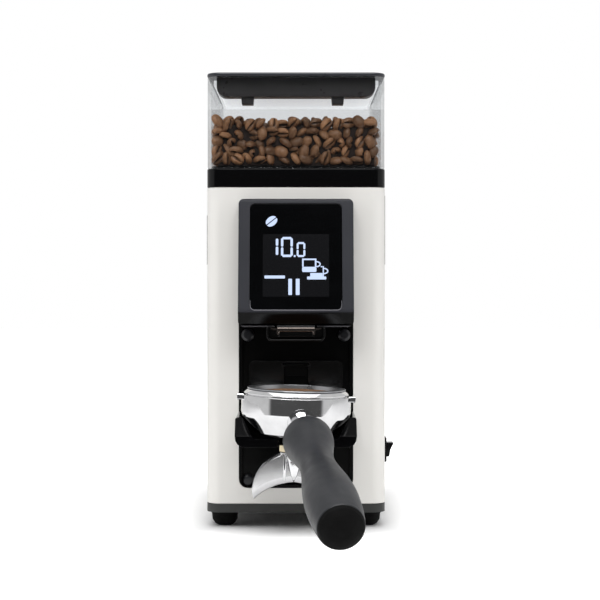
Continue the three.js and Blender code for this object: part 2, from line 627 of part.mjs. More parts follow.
function makePortafilter() {
  const { drop, yaw } = HANDLE;
  const [fall, aside] = [THREE.MathUtils.degToRad(drop), THREE.MathUtils.degToRad(yaw)];
  const along = new THREE.Vector3(
    Math.cos(fall) * Math.sin(aside), -Math.cos(fall) * Math.cos(aside), -Math.sin(fall));
  const start = new THREE.Vector3(
    HANDLE.x - BASKET_CENTRE.x, HANDLE.y - BASKET_CENTRE.y, HANDLE.z - BASKET_CENTRE.z);
  const onAxis = (distance) => start.clone().addScaledVector(along, distance).toArray();
  const grip = makeHandle();
  grip.position.copy(start);
  grip.quaternion.setFromUnitVectors(Z_AXIS, along);
  const group = new THREE.Group();
  group.position.set(BASKET_CENTRE.x, BASKET_CENTRE.y, BASKET_CENTRE.z);
  group.rotation.y = PORTAFILTER_ROLL;
  group.add(makeCup(onAxis(-28), onAxis(-GAP)), makeBasket(), makeGrounds(), makeSpout(), grip);
  return group;
}

// ---- Motor and burrs, on the vertical shaft ---------------------------------------------------

const onShaft = (maker, ...sizes) => maker(...sizes, 0, SHAFT_Y);

function makeMotor() {
  const { radius, bottom, top } = MOTOR;
  const wall = 1.7;
  let can = onShaft(disc, radius, bottom, top).subtract(onShaft(disc, radius - wall, bottom + 3, top - 3));
  can = can.subtract(onShaft(disc, 13.4, bottom - 1, top + 1));
  for (let window = 0; window < 3; window += 1) {
    const turn = [0, 0, window * 60];
    const cut = block([-60, -7, bottom + 8], [60, 7, bottom + 20]).rotate(turn);
    can = can.subtract(cut.translate([0, SHAFT_Y, 0]));
  }
  const stator = onShaft(ring, 25.6, radius - wall - GAP, bottom + 24, top - 30);
  const rotor = onShaft(ring, SHAFT_RADIUS + GAP, 25, bottom + 26, top - 32);
  const lowerBearing = onShaft(ring, SHAFT_RADIUS + GAP, 13, bottom + 0.5, bottom + 8);
  const upperBearing = onShaft(ring, SHAFT_RADIUS + GAP, 13, top - 8, top - 0.5);
  return [
    piece('motor_housing', can, 'castAluminium'),
    piece('stator', stator, 'copper'),
    piece('rotor', rotor, 'steel'),
    piece('motor_bearing_lower', lowerBearing, 'steel'),
    piece('motor_bearing_upper', upperBearing, 'steel'),
    piece('motor_shaft', onShaft(disc, SHAFT_RADIUS, MOTOR.bottom - 4, 214), 'steel'),
  ];
}

/** Cast chamber round the burrs: flange on the chassis shelves, bore above, outlet to the chute. */
function makeChamber() {
  const { bottom, top, outer, cavity, bore } = CHAMBER;
  let casting = block([-55.4, 54, bottom], [55.4, 106, bottom + 4]).add(onShaft(disc, outer, bottom, top));
  casting = casting.subtract(onShaft(disc, cavity, bottom + 5, 217));
  casting = casting.subtract(onShaft(disc, bore, 216, top + 1));
  casting = casting.subtract(onShaft(disc, SHAFT_RADIUS + GAP, bottom - 1, bottom + 6));
  const exit = block([-12, 30, bottom + 5], [12, 60, 216]);
  return piece('grinding_chamber', casting.subtract(exit), 'castAluminium');
}

/** A ring of steel with slanted grooves cut across one face to leave the teeth. */
function burr(bottom, grooveZ) {
  let cutter = ring(BURR.inner, BURR.outer, bottom, bottom + BURR.thick);
  for (let tooth = 0; tooth < BURR.teeth; tooth += 1) {
    const groove = block([BURR.inner - 3, -1.3, grooveZ - 1.6], [BURR.outer + 3, 1.3, grooveZ + 1.6]);
    const slant = groove.translate([0, 6, 0]).rotate([0, 0, (tooth * 360) / BURR.teeth]);
    cutter = cutter.subtract(slant);
  }
  return cutter.translate([0, SHAFT_Y, 0]);
}

function makeBurrs() {
  const lowerTop = BURR.lowerBottom + BURR.thick;
  const upperBottom = lowerTop + BURR.gap;
  const carrierBottom = upperBottom + BURR.thick + GAP;
  let sweeper = onShaft(disc, 31.5, 203, BURR.lowerBottom - GAP);
  for (let vane = 0; vane < 3; vane += 1) {
    const blade = block([25, -2, 203], [37.4, 2, 207]).rotate([0, 0, vane * 120 + 30]);
    sweeper = sweeper.add(blade.translate([0, SHAFT_Y, 0]));
  }
  sweeper = sweeper.subtract(onShaft(disc, SHAFT_RADIUS + GAP, 200, 215));
  return [
    piece('lower_burr_carrier', sweeper, 'castAluminium'),
    piece('lower_burr', burr(BURR.lowerBottom, lowerTop), 'steel'),
    piece('upper_burr', burr(upperBottom, upperBottom), 'steel'),
    piece('upper_burr_carrier', onShaft(ring, THROAT_RADIUS + 0.5, 33.6, carrierBottom, 241), 'brass'),
  ];
}

/** Threaded ring that lifts the upper burr, and the thumbwheel whose pinion turns it. */
function makeAdjuster() {
  const { module, ringTeeth, wheelTeeth, bottom, top } = GEAR;
  const wheelX = (module * (ringTeeth + wheelTeeth)) / 2;
  const teeth = raised(gearOutline(ringTeeth, 0, SHAFT_Y), bottom, top);
  const bore = onShaft(disc, CHAMBER.bore, bottom - 1, top + 1);
  let wheel = raised(gearOutline(wheelTeeth, wheelX, SHAFT_Y, 0.5), bottom - 1, top);
  let rim = disc(THUMBWHEEL.radius, THUMBWHEEL.bottom, THUMBWHEEL.top);
  for (let notch = 0; notch < 18; notch += 1) {
    const cut = block([14.2, -0.8, THUMBWHEEL.bottom - 1], [17, 0.8, THUMBWHEEL.top + 1]);
    rim = rim.subtract(cut.rotate([0, 0, notch * 20]));
  }
  wheel = wheel.add(rim.translate([wheelX, SHAFT_Y, 0]));
  wheel = wheel.add(disc(4, bottom - 5, THUMBWHEEL.top + 3, wheelX, SHAFT_Y, 20));
  return [
    piece('adjust_ring', teeth.subtract(bore), 'brass'),
    piece('adjuster_wheel', wheel, 'satinBlack'),
  ];
}

// ---- Hopper, gate and lid ------------------------------------------------------------------------

function makeHopper() {
  const tub = raised(plan(0.3), HOPPER_BOTTOM, HOPPER_TOP);
  return piece('hopper', tub.subtract(raised(plan(0.3 + HOPPER_WALL), 250, 340)), 'clear');
}

/** Black funnel in the hopper's foot, with the neck over the burrs and the gate's slot. */
function makeFunnel() {
  const inset = HOPPER_WALL + 0.3 + GAP;
  const bottom = COLLAR_BOTTOM + 2.6;
  let funnel = raised(plan(inset + 0.4), bottom, HOPPER_BOTTOM + 1.8);
  funnel = funnel.add(onShaft(disc, 21.5, 243.4, bottom + 2));
  const cone = onShaft(turned, [
    [0, GATE.top - 1], [THROAT_RADIUS, GATE.top - 1], [THROAT_RADIUS, GATE.top + 0.8],
    [56, HOPPER_BOTTOM + 1.8], [56, HOPPER_BOTTOM + 5], [0, HOPPER_BOTTOM + 5],
  ]);
  funnel = funnel.subtract(cone).subtract(onShaft(disc, THROAT_RADIUS, 240, GATE.top));
  const slotHalf = GATE.halfWidth + GAP;
  const slot = block([-slotHalf, GATE.front - 2, GATE.bottom - GAP], [slotHalf, 200, GATE.top + GAP]);
  return piece('hopper_funnel', funnel.subtract(slot), 'glossBlack');
}

/** Sliding gate: its hole lies over the throat when open, and its tab stands out behind. */
function makeGate() {
  const { halfWidth: w, tabHalfWidth: tab, bottom, top, front, shoulder, back } = GATE;
  let gate = block([-w, front, bottom], [w, shoulder, top]);
  gate = gate.add(block([-tab, shoulder - 5, bottom], [tab, back, top]));
  gate = gate.add(block([-tab, back - GATE_LIP.thick, bottom], [tab, back, top + GATE_LIP.rise]));
  const hole = onShaft(disc, THROAT_RADIUS, bottom - 1, top + 1);
  return piece('shutoff_gate', gate.subtract(hole), 'satinBlack');
}

/** The beans as one mass: the hopper's fill with a heaped top, and the cone in the funnel. */
function makeBeans() {
  const inset = HOPPER_WALL + 0.3 + 1;
  const floor = HOPPER_BOTTOM + 1.8 + GAP;
  let fill = raised(plan(inset), floor, BEAN_TOP - 4);
  fill = fill.add(raised(plan(inset + 14), BEAN_TOP - 4.5, BEAN_TOP));
  const cone = [[0, GATE.top + 1.6], [16, GATE.top + 1.6], [51, floor], [51, floor + 4], [0, floor + 4]];
  return piece('bean_fill', fill.add(onShaft(turned, cone)), 'roastedBean');
}

function makeLid() {
  const seat = HOPPER_TOP + GAP;
  const crown = new THREE.ExtrudeGeometry(plan(0), {
    depth: 0.6, bevelThickness: 1.1, bevelSize: 2.2, bevelOffset: -2.2,
    bevelSegments: 3, curveSegments: ARC_STEPS,
  });
  const cover = solid(crown.translate(0, 0, seat + 1.1)).intersect(raised(plan(), seat, LID_TOP));
  return piece('lid', cover, 'satinBlack');
}

/** Grip trough under the lid's front edge, open at the top, with two clips below it. */
function makeLidLiner() {
  const { halfWidth: w, front, back, top, bottom, wall, clip } = LINER;
  const face = (inset) => rounded([inset - w, w - inset], [bottom + inset, top + 9], Math.max(7 - inset, 1));
  let trough = deep(face(0), front, back).subtract(deep(face(wall), front + wall, back - wall));
  trough = trough.subtract(block([-70, -5, top], [70, 200, top + 20]));
  for (const x of [-35.5, 30.5]) {
    const tab = outline([[x - 4.8, bottom + 1], [x - 4.2, clip], [x + 4.2, clip], [x + 4.8, bottom + 1]]);
    trough = trough.add(deep(tab, front + 2, back - 3));
  }
  return piece('lid_liner', trough, 'satinBlack');
}

/** Pale sealing pan on the rest of the lid's underside, with a rim that sits inside the hopper. */
function makeLidSeal() {
  const { inset, bottom, wall } = SEAL;
  const behindLiner = block([-70, LINER.back + GAP, bottom - 1], [70, BODY.depth, HOPPER_TOP + 1]);
  const pan = raised(plan(inset), bottom, HOPPER_TOP).intersect(behindLiner);
  const hollow = raised(plan(inset + wall), bottom - 1, HOPPER_TOP - wall);
  return piece('lid_seal', pan.subtract(hollow.intersect(behindLiner.translate([0, wall, 0]))), 'seal');
}

// ---- Electrics -------------------------------------------------------------------------------------

/** Square frame that the rocker tips in, with its body inside the shell. */
function makeRockerBezel() {
  const { y, z } = ROCKER;
  const outside = BODY.width / 2 + GAP;
  let frame = across(rounded([y - 6.5, y + 6.5], [z - 9, z + 9], 1.5), outside, outside + 2);
  frame = frame.add(block([52, y - 5.7, z - 7.7], [outside + 1, y + 5.7, z + 7.7]));
  frame = frame.subtract(block([56, y - 5.1, z - 6.7], [outside + 3, y + 5.1, z + 6.7]));
  return piece('rocker_bezel', frame, 'panelBlack');
}

/** Rocker, tipped to its on side: it turns about the line through its pivot that runs back. */
function makeRocker() {
  const { y, z, pivotX } = ROCKER;
  const face = outline([
    [pivotX - 3, z - 5.2], [pivotX + 4.4, z - 5.2, 1], [pivotX + 5.2, z], [pivotX + 7.8, z + 5.2, 1],
    [pivotX - 3, z + 5.2],
  ]);
  return piece('power_rocker', deep(face, y - 4.7, y + 4.7, 3), 'glossBlack');
}

/** Three-pin appliance inlet, clipped into the rear cover from outside. */
function makeInlet() {
  const { z, halfWidth: w, halfHeight: h } = INLET;
  const seat = REAR_COVER.front + REAR_COVER.thick + GAP;
  const mouth = seat + 2;
  let body = deep(rounded([-w, w], [z - h, z + h], 2), seat, mouth, 3);
  body = body.add(block([3.4 - w, 166, z - h + 3.4], [w - 3.4, seat + 1, z + h - 3.4]));
  body = body.subtract(block([5 - w, 169, z - h + 5], [w - 5, mouth + 1, z + h - 5]));
  for (const [x, rise] of [[-6.5, -1.5], [0, 1.5], [6.5, -1.5]]) {
    body = body.add(block([x - 0.9, 168, z + rise - 2], [x + 0.9, 180, z + rise + 2]));
  }
  return piece('power_inlet', body, 'panelBlack');
}

/** Control board on edge behind the motor, with its transformer, relay and connector. */
function makeControlBoard() {
  let board = block([-42, 140, 92], [42, 141.6, 186]);
  board = board.add(block([-30, 141, 100], [-2, 163, 128]));
  board = board.add(block([8, 141, 104], [26, 157, 118]));
  board = board.add(block([-24, 141, 150], [20, 149, 158]));
  for (const [, sign] of SIDES) {
    board = board.add(rod(7, [sign * 26, 141, 172], [sign * 26, 154, 172]));
  }
  return piece('control_board', board, 'circuitBoard');
}

function makeCapacitor() {
  const floor = BASE_BOTTOM + 5 + 2 * GAP;
  const radius = 15;
  const can = rod(radius, [-30, 148, floor + radius], [32, 148, floor + radius], 24);
  return piece('motor_capacitor', can, 'castAluminium');
}

// ---- The whole grinder --------------------------------------------------------------------------------

const body = new THREE.Group();
body.position.y = FRONT_PLANE_Y;
body.add(
  ...makeFeet(), makeBasePlate(), makeChassis(), makeShell(), makeRearCover(), ...makeRearScrews(),
  makeFrontPanel(), ...makePanelPegs(), makeCollar(), makeVentPlate(), makeAdjusterCover(),
  makeBezel(), makeGlass(), makeDisplayModule(), makeChute(), makeShroud(), makeNozzle(),
  makeCellPlate(), makePaddle(), makeMicroswitch(), makeFork(), makePortafilter(),
  ...makeMotor(), makeChamber(), ...makeBurrs(), ...makeAdjuster(),
  makeHopper(), makeFunnel(), makeGate(), makeBeans(), makeLid(), makeLidLiner(), makeLidSeal(),
  makeRockerBezel(), makeRocker(), makeInlet(), makeControlBoard(), makeCapacitor(),
);

const grinder = new THREE.Group();
grinder.add(body);

export default grinder;
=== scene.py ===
"""Burr coffee grinder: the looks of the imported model. Pieces are drawn in millimetres, made metres by MM."""

import json
import math

import bmesh
import bpy
import numpy as np
from mathutils import Matrix, Vector, noise

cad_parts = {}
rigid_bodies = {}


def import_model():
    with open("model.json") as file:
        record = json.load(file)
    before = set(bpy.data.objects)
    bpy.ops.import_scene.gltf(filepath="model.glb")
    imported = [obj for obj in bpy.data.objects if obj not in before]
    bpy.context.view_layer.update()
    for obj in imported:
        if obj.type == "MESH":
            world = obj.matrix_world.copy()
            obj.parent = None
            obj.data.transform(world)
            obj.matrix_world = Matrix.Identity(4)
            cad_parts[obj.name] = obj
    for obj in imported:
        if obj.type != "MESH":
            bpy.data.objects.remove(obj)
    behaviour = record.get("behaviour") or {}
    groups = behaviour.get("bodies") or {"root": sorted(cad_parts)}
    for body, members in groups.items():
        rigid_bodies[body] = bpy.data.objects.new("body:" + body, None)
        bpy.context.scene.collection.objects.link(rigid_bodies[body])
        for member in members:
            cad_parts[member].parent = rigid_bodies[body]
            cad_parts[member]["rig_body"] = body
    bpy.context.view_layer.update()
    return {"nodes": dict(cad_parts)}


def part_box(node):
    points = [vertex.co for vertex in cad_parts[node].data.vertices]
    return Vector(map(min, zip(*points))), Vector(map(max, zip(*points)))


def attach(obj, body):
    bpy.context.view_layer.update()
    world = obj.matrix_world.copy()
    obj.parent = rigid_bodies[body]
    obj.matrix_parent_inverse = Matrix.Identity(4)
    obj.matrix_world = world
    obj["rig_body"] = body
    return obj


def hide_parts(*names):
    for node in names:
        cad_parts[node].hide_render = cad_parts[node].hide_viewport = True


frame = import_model()

# ---- Driving dimensions, in millimetres ----------------------------------------------------

MM = 0.001
FRONT = 26  # the body's front plane
BODY = {"half": 65, "depth": 185, "corner": 10}
CAMERA = {"x": 2.9, "y": -1063, "z": 182.6, "lens": 90, "shift": -0.0383}

BASKET_CENTRE = (0.5, FRONT - 48, 105.4)
ROLL = math.radians(1.7)
GRIP_START = Vector((7.5, -60, -27.4))
GRIP_AXIS = Vector((0.1474, -0.9523, -0.2672)).normalized()

CREASE = (FRONT - 27, 158)  # y, z of the line where the bezel's raked face begins
FACE_SLOPE = math.atan2(16, 80.8)

HOPPER = {"half": 64.7, "front": 26.3, "back": 210.7, "wall": 2.6, "bottom": 261.7, "top": 328.2}
BEAN = {"length": 5.5, "width": 4.25, "height": 3.1, "spacing": (8.0, 8.0, 6.7), "depth": 8.6}
BEAN_FLOOR, BEAN_SURFACE = 264.2, 296.5

ROOM = {"dark": 0.08, "bright": 0.6, "from": -0.62, "to": -0.48}  # the world's tone against its direction Y


# ---- Node helpers ------------------------------------------------------------------------------


class Nodes:
    """A small wrapper for a material's node tree, with its Principled shader."""

    def __init__(self, name):
        self.material = bpy.data.materials.new(name)
        self.material.use_nodes = True
        self.tree = self.material.node_tree
        self.shader = self.tree.nodes["Principled BSDF"]
        self.output = self.tree.nodes["Material Output"]
        self.place = self.tree.nodes.new("ShaderNodeTexCoord").outputs["Object"]

    def link(self, a, b):
        self.tree.links.new(a, b)

    def stretched(self, scale):
        """Object coordinates scaled per axis, for brushed or drawn textures."""
        node = self.tree.nodes.new("ShaderNodeMapping")
        node.inputs["Scale"].default_value = scale
        self.link(self.place, node.inputs["Vector"])
        return node.outputs["Vector"]

    def noise(self, scale, detail=3.0, vector=None, roughness=0.55):
        node = self.tree.nodes.new("ShaderNodeTexNoise")
        node.inputs["Scale"].default_value = scale
        node.inputs["Detail"].default_value = detail
        node.inputs["Roughness"].default_value = roughness
        self.link(vector or self.place, node.inputs["Vector"])
        return node.outputs["Fac"]

    def cells(self, scale, vector=None, feature="F1"):
        node = self.tree.nodes.new("ShaderNodeTexVoronoi")
        node.feature = feature
        node.inputs["Scale"].default_value = scale
        self.link(vector or self.place, node.inputs["Vector"])
        return node.outputs["Distance"]

    def ranged(self, value, low, high, start=0.3, end=0.7):
        """value from start..end mapped to low..high."""
        node = self.tree.nodes.new("ShaderNodeMapRange")
        for socket, number in zip(("From Min", "From Max", "To Min", "To Max"), (start, end, low, high)):
            node.inputs[socket].default_value = number
        self.link(value, node.inputs["Value"])
        return node.outputs["Result"]

    def blend(self, factor, first, second):
        """A colour between two, each a colour or a socket."""
        node = self.tree.nodes.new("ShaderNodeMix")
        node.data_type = "RGBA"
        self.link(factor, node.inputs[0])
        for socket, colour in ((node.inputs[6], first), (node.inputs[7], second)):
            if isinstance(colour, tuple):
                socket.default_value = (*colour, 1)
            else:
                self.link(colour, socket)
        return node.outputs[2]

    def bump(self, height, distance, strength=1.0, under=None):
        """A bump of that many millimetres, on top of another bump."""
        node = self.tree.nodes.new("ShaderNodeBump")
        node.inputs["Strength"].default_value = strength
        node.inputs["Distance"].default_value = distance * MM
        self.link(height, node.inputs["Height"])
        if under:
            self.link(under, node.inputs["Normal"])
        return node.outputs["Normal"]

    def set(self, **values):
        """Principled inputs by name, with _ for a space: a number, a colour or a socket."""
        for name, value in values.items():
            socket = self.shader.inputs[name.replace("_", " ")]
            if isinstance(value, bpy.types.NodeSocket):
                self.link(value, socket)
            elif isinstance(value, tuple) and len(value) == 3:
                socket.default_value = (*value, 1)
            else:
                socket.default_value = value
        return self


def plastic(name, colour, rough, grain, depth, lighter=1.25, specular=0.5, painted_glow=0.0):
    """Moulded or coated surface: fine grain of that size in mm, soft tone changes and patchy gloss; a glow
    above zero is emission, painted light on a part that is no lamp.
    """
    n = Nodes(name)
    broad = n.noise(28, 4)
    fine = n.noise(1000 / grain, 2)
    pale = tuple(min(1, c * lighter) for c in colour)
    n.set(Base_Color=n.blend(n.ranged(broad, 0, 1), colour, pale))
    n.set(Roughness=n.ranged(n.noise(90, 5), rough * 0.85, min(1, rough * 1.15)))
    n.set(Normal=n.bump(fine, depth, under=n.bump(broad, depth * 0.6)))
    n.set(Specular_IOR_Level=specular, Emission_Color=(0.95, 0.975, 1.0), Emission_Strength=painted_glow)
    return n.material


def metal(name, colour, rough, grain=(1, 1, 1), fineness=600, depth=0.004, spread=0.2):
    """Bare or plated metal: a large number in grain brushes the texture across that axis."""
    n = Nodes(name)
    streaks = n.noise(fineness, 3, n.stretched(grain))
    dark = tuple(c * 0.86 for c in colour)
    n.set(Base_Color=n.blend(n.ranged(streaks, 0, 1), dark, colour), Metallic=1.0)
    n.set(Roughness=n.ranged(n.noise(60, 5), rough * (1 - spread), rough * (1 + spread)))
    n.set(Normal=n.bump(streaks, depth))
    return n.material


def painted_sheet():
    """Powder-coated sheet: warm off-white with a faint orange peel."""
    n = Nodes("shell_paint_coat")
    peel = n.noise(420, 2)
    speck = n.noise(1900, 1)
    drift = n.noise(9, 3)
    n.set(Base_Color=n.blend(n.ranged(drift, 0, 1), (0.80, 0.785, 0.75), (0.835, 0.82, 0.79)))
    n.set(Roughness=n.ranged(peel, 0.36, 0.46), Specular_IOR_Level=0.45)
    n.set(Normal=n.bump(speck, 0.004, under=n.bump(peel, 0.012)))
    return n.material


def bezel_coat():
    """Satin moulding whose lip below the crease is a deeper and glossier black, with a painted highlight along
    the lip's bottom edge.
    """
    n = Nodes("bezel_coat")
    split = n.tree.nodes.new("ShaderNodeSeparateXYZ")
    n.link(n.place, split.inputs["Vector"])
    above = n.ranged(split.outputs["Z"], 0, 1, (CREASE[1] - 0.9) * MM, (CREASE[1] + 0.1) * MM)
    broad = n.noise(28, 4)
    satin = n.blend(n.ranged(broad, 0, 1), (0.033, 0.034, 0.040), (0.038, 0.039, 0.046))
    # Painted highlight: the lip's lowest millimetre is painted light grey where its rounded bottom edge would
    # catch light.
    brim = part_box("display_bezel")[0].z
    mottle_and_painted_light = n.ranged(split.outputs["Z"], 0, 1, brim + 0.5 * MM, brim + 1.2 * MM)
    lip = n.blend(mottle_and_painted_light, (0.12, 0.12, 0.13), (0.0008, 0.0008, 0.001))
    n.set(Base_Color=n.blend(above, lip, satin), Specular_IOR_Level=0.14)
    n.set(Roughness=n.ranged(above, 0.13, 0.34, 0, 1))
    n.set(Normal=n.bump(n.noise(1400, 2), 0.008, under=n.bump(broad, 0.008)))
    return n.material


def clear_plastic():
    """Thin clear wall: mostly see-through with a faint smoke tint, glossy where the view grazes it."""
    n = Nodes("clear_hopper_wall")
    haze = n.noise(45, 4)
    through = n.tree.nodes.new("ShaderNodeBsdfTransparent")
    through.inputs["Color"].default_value = (0.912, 0.918, 0.922, 1)
    gloss = n.tree.nodes.new("ShaderNodeBsdfGlossy")
    n.link(n.ranged(haze, 0.03, 0.07), gloss.inputs["Roughness"])
    n.link(n.bump(n.noise(14, 2), 0.05), gloss.inputs["Normal"])
    edge = n.tree.nodes.new("ShaderNodeLayerWeight")
    edge.inputs["Blend"].default_value = 0.5
    mix = n.tree.nodes.new("ShaderNodeMixShader")
    n.link(n.ranged(edge.outputs["Facing"], 0.025, 0.5, 0.4, 1.0), mix.inputs["Fac"])
    n.link(through.outputs["BSDF"], mix.inputs[1])
    n.link(gloss.outputs["BSDF"], mix.inputs[2])
    n.tree.nodes.remove(n.shader)
    n.link(mix.outputs["Shader"], n.output.inputs["Surface"])
    return n.material


def screen_glass():
    """Black cover glass: near mirror, with the faintest smears."""
    n = Nodes("screen_cover_glass")
    smear = n.noise(35, 5, n.stretched((1, 1, 2.5)))
    n.set(Base_Color=n.blend(n.ranged(smear, 0, 1), (0.0008, 0.0009, 0.0012), (0.0016, 0.0018, 0.0022)))
    n.set(Roughness=n.ranged(smear, 0.03, 0.09), Specular_IOR_Level=0.22)
    return n.material


def lit(name, colour, strength, base=0.02):
    """A lit display segment, with the fine raster of its panel."""
    n = Nodes(name)
    raster = n.cells(2600)
    n.set(Base_Color=(base, base, base), Roughness=0.12, Emission_Strength=strength)
    n.set(Emission_Color=n.blend(n.ranged(raster, 0, 1, 0, 0.9), colour, tuple(c * 0.93 for c in colour)))
    return n.material


def roasted():
    """Roasted beans: a tone for each bean that carries painted shade, a pale-edged crease painted dark as
    shade, an oily sheen.
    """
    n = Nodes("roasted_bean_skin")
    tone = n.tree.nodes.new("ShaderNodeAttribute")
    tone.attribute_name = "tone"
    mottled = n.noise(420, 4)
    # The tone holds each bean's random tone times painted shade; low tones give the darkest brown.
    depth = n.ranged(tone.outputs["Fac"], 0, 1, 0, 1)
    brown = n.blend(depth, (0.009, 0.0035, 0.0015), (0.36, 0.165, 0.072))
    pale = n.blend(depth, (0.014, 0.006, 0.0025), (0.60, 0.33, 0.17))
    mottle_and_painted_light = n.blend(n.ranged(mottled, 0, 0.6), brown, pale)
    n.set(Base_Color=mottle_and_painted_light, Roughness=n.ranged(mottled, 0.34, 0.6), Specular_IOR_Level=0.4)
    n.set(Normal=n.bump(n.noise(900, 3), 0.08, under=n.bump(n.noise(260, 2), 0.15)))
    return n.material


def ground_coffee():
    n = Nodes("ground_coffee_bed")
    crumbs = n.cells(1500)
    n.set(Base_Color=n.blend(n.ranged(n.noise(800, 4), 0, 1), (0.075, 0.035, 0.016), (0.28, 0.15, 0.075)))
    n.set(Roughness=n.ranged(crumbs, 0.8, 1.0))
    n.set(Normal=n.bump(crumbs, 0.5, under=n.bump(n.noise(500, 5), 0.4)))
    return n.material


def circuit_board():
    n = Nodes("circuit_board_lacquer")
    tracks = n.cells(260, feature="DISTANCE_TO_EDGE")
    n.set(Base_Color=n.blend(n.ranged(tracks, 0, 1, 0.02, 0.05), (0.03, 0.16, 0.07), (0.012, 0.07, 0.032)))
    n.set(Roughness=n.ranged(n.noise(200, 3), 0.35, 0.55), Normal=n.bump(tracks, 0.06))
    return n.material


def windings():
    """Enamelled copper wire laid in rows."""
    n = Nodes("copper_windings")
    wave = n.tree.nodes.new("ShaderNodeTexWave")
    wave.bands_direction = "Z"
    wave.inputs["Scale"].default_value = 320
    wave.inputs["Distortion"].default_value = 1.5
    n.link(n.place, wave.inputs["Vector"])
    n.set(Base_Color=n.blend(wave.outputs["Fac"], (0.16, 0.05, 0.02), (0.5, 0.2, 0.08)), Metallic=1.0)
    n.set(Roughness=n.ranged(n.noise(150, 3), 0.3, 0.45), Normal=n.bump(wave.outputs["Fac"], 0.2))
    return n.material


def cast(name, colour):
    """Die-cast metal: sandy skin with flow marks."""
    n = Nodes(name)
    skin = n.noise(1300, 3)
    flow = n.noise(55, 5)
    n.set(Base_Color=n.blend(n.ranged(flow, 0, 1), tuple(c * 0.8 for c in colour), colour), Metallic=1.0)
    n.set(Roughness=n.ranged(flow, 0.42, 0.62), Normal=n.bump(skin, 0.05, under=n.bump(flow, 0.05)))
    return n.material


MATERIALS = {
    "shell_paint": painted_sheet(),
    "satin_black": plastic("satin_black_moulding", (0.012, 0.0125, 0.015), 0.32, 0.7, 0.02, specular=0.45),
    "lid_black": plastic("lid_black_moulding", (0.021, 0.0225, 0.029), 0.3, 0.6, 0.02),
    "liner_smoke": plastic("liner_smoke_moulding", (0.036, 0.034, 0.035), 0.3, 0.8, 0.02),
    # The seal's glow is painted light: emission brightens its shaded underside.
    "seal_white": plastic("seal_silicone", (0.72, 0.73, 0.73), 0.6, 0.8, 0.02, 1.05, 0.3, painted_glow=0.62),
    "gloss_black": plastic("gloss_black_moulding", (0.0012, 0.0012, 0.0015), 0.12, 3.0, 0.004, specular=0.28),
    "panel_black": plastic("panel_black_coat", (0.001, 0.001, 0.001), 0.34, 0.5, 0.02, specular=0.12),
    "cell_black": plastic("cell_black_coat", (0.001, 0.001, 0.001), 0.16, 0.5, 0.006, specular=0.5),
    "base_grey": plastic("base_grey_moulding", (0.021, 0.022, 0.021), 0.45, 0.8, 0.03),
    "bezel_coat": bezel_coat(),
    # Grey of the painted highlight on the display glass's lower edge.
    "painted_highlight_grey": plastic("painted_highlight_grey", (0.20, 0.20, 0.22), 0.3, 0.8, 0.004),
    "fork_coat": plastic("fork_coat", (0.0012, 0.0012, 0.0015), 0.12, 3.0, 0.004, specular=0.13),
    "spout_plate": metal("spout_plate", (0.86, 0.86, 0.87), 0.17, fineness=80, depth=0.01),
    "foot_rubber": plastic("foot_rubber", (0.0025, 0.0025, 0.0025), 0.75, 0.9, 0.05, specular=0.12),
    "soft_grip": plastic("soft_grip_coat", (0.014, 0.015, 0.018), 0.42, 0.35, 0.02, specular=0.42),
    "clear_plastic": clear_plastic(),
    "display_glass": screen_glass(),
    "chrome": metal("chrome_plate", (0.86, 0.86, 0.87), 0.07, fineness=80, depth=0.01),
    "dark_chrome": metal("dark_chrome_plate", (0.26, 0.22, 0.20), 0.16, fineness=300, depth=0.01),
    "steel": metal("steel_brushed", (0.52, 0.53, 0.55), 0.3, (1, 1, 14), 500, 0.01),
    "cast_aluminium": cast("cast_aluminium_skin", (0.42, 0.43, 0.44)),
    "brass": metal("brass_turned", (0.55, 0.40, 0.17), 0.3, (1, 1, 20), 400, 0.01),
    "copper": windings(),
    "circuit_board": circuit_board(),
    "nickel": metal("nickel_plate", (0.72, 0.62, 0.42), 0.14, fineness=200, depth=0.01),
    "roasted_bean": roasted(),
    "ground_coffee": ground_coffee(),
    "display_white": lit("display_white_light", (0.62, 0.74, 1.0), 1.1),
    "display_field": lit("display_field_glow", (0.0028, 0.003, 0.0042), 1.0, 0.002),
}



# ---- Shape helpers -----------------------------------------------------------------------------


def turned(point, angle):
    """A 2-D point turned about the origin."""
    c, s = math.cos(angle), math.sin(angle)
    return Vector((point[0] * c - point[1] * s, point[0] * s + point[1] * c))


def rounded_outline(corners, steps=6):
    """A closed 2-D outline: each corner is (u, v) or (u, v, radius), the radius drawn as a true arc."""
    points = []
    for i, corner in enumerate(corners):
        here = Vector(corner[:2])
        radius = corner[2] if len(corner) > 2 else 0
        if not radius:
            points.append(here)
            continue
        before = (Vector(corners[i - 1][:2]) - here).normalized()
        after = (Vector(corners[(i + 1) % len(corners)][:2]) - here).normalized()
        half = before.angle(after) / 2
        if half > math.radians(88):
            points.append(here)
            continue
        reach = radius / math.tan(half)
        centre = here + (before + after).normalized() * radius / math.sin(half)
        first, last = here + before * reach - centre, here + after * reach - centre
        turn = first.angle_signed(last)
        for step in range(steps + 1):
            points.append(centre + turned(first, -turn * step / steps))
    return points


def rectangle(u, v, radius, low=None, steps=6):
    """A rectangle's outline with round corners; the lower pair may have a radius of their own."""
    low = radius if low is None else low
    corners = [(u[0], v[0], low), (u[1], v[0], low), (u[1], v[1], radius), (u[0], v[1], radius)]
    return rounded_outline(corners, steps)


def plan(inset=0, steps=10):
    """The hopper's and lid's plan outline, pulled in by an inset."""
    half, corner = BODY["half"] - inset, max(BODY["corner"] - inset, 1)
    return rectangle((-half, half), (FRONT + inset, FRONT + BODY["depth"] - inset), corner, steps=steps)


def add(name, verts, faces, slot, body, replaced=(), sharp=32, place=None):
    """A mesh piece in millimetres, smooth-shaded but for its sharp edges, that rides on a body."""
    mesh = bpy.data.meshes.new(name)
    where = place or Matrix.Identity(4)
    mesh.from_pydata([(where @ Vector(v)) * MM for v in verts], [], faces)
    return settle(name, mesh, slot, body, replaced, sharp)


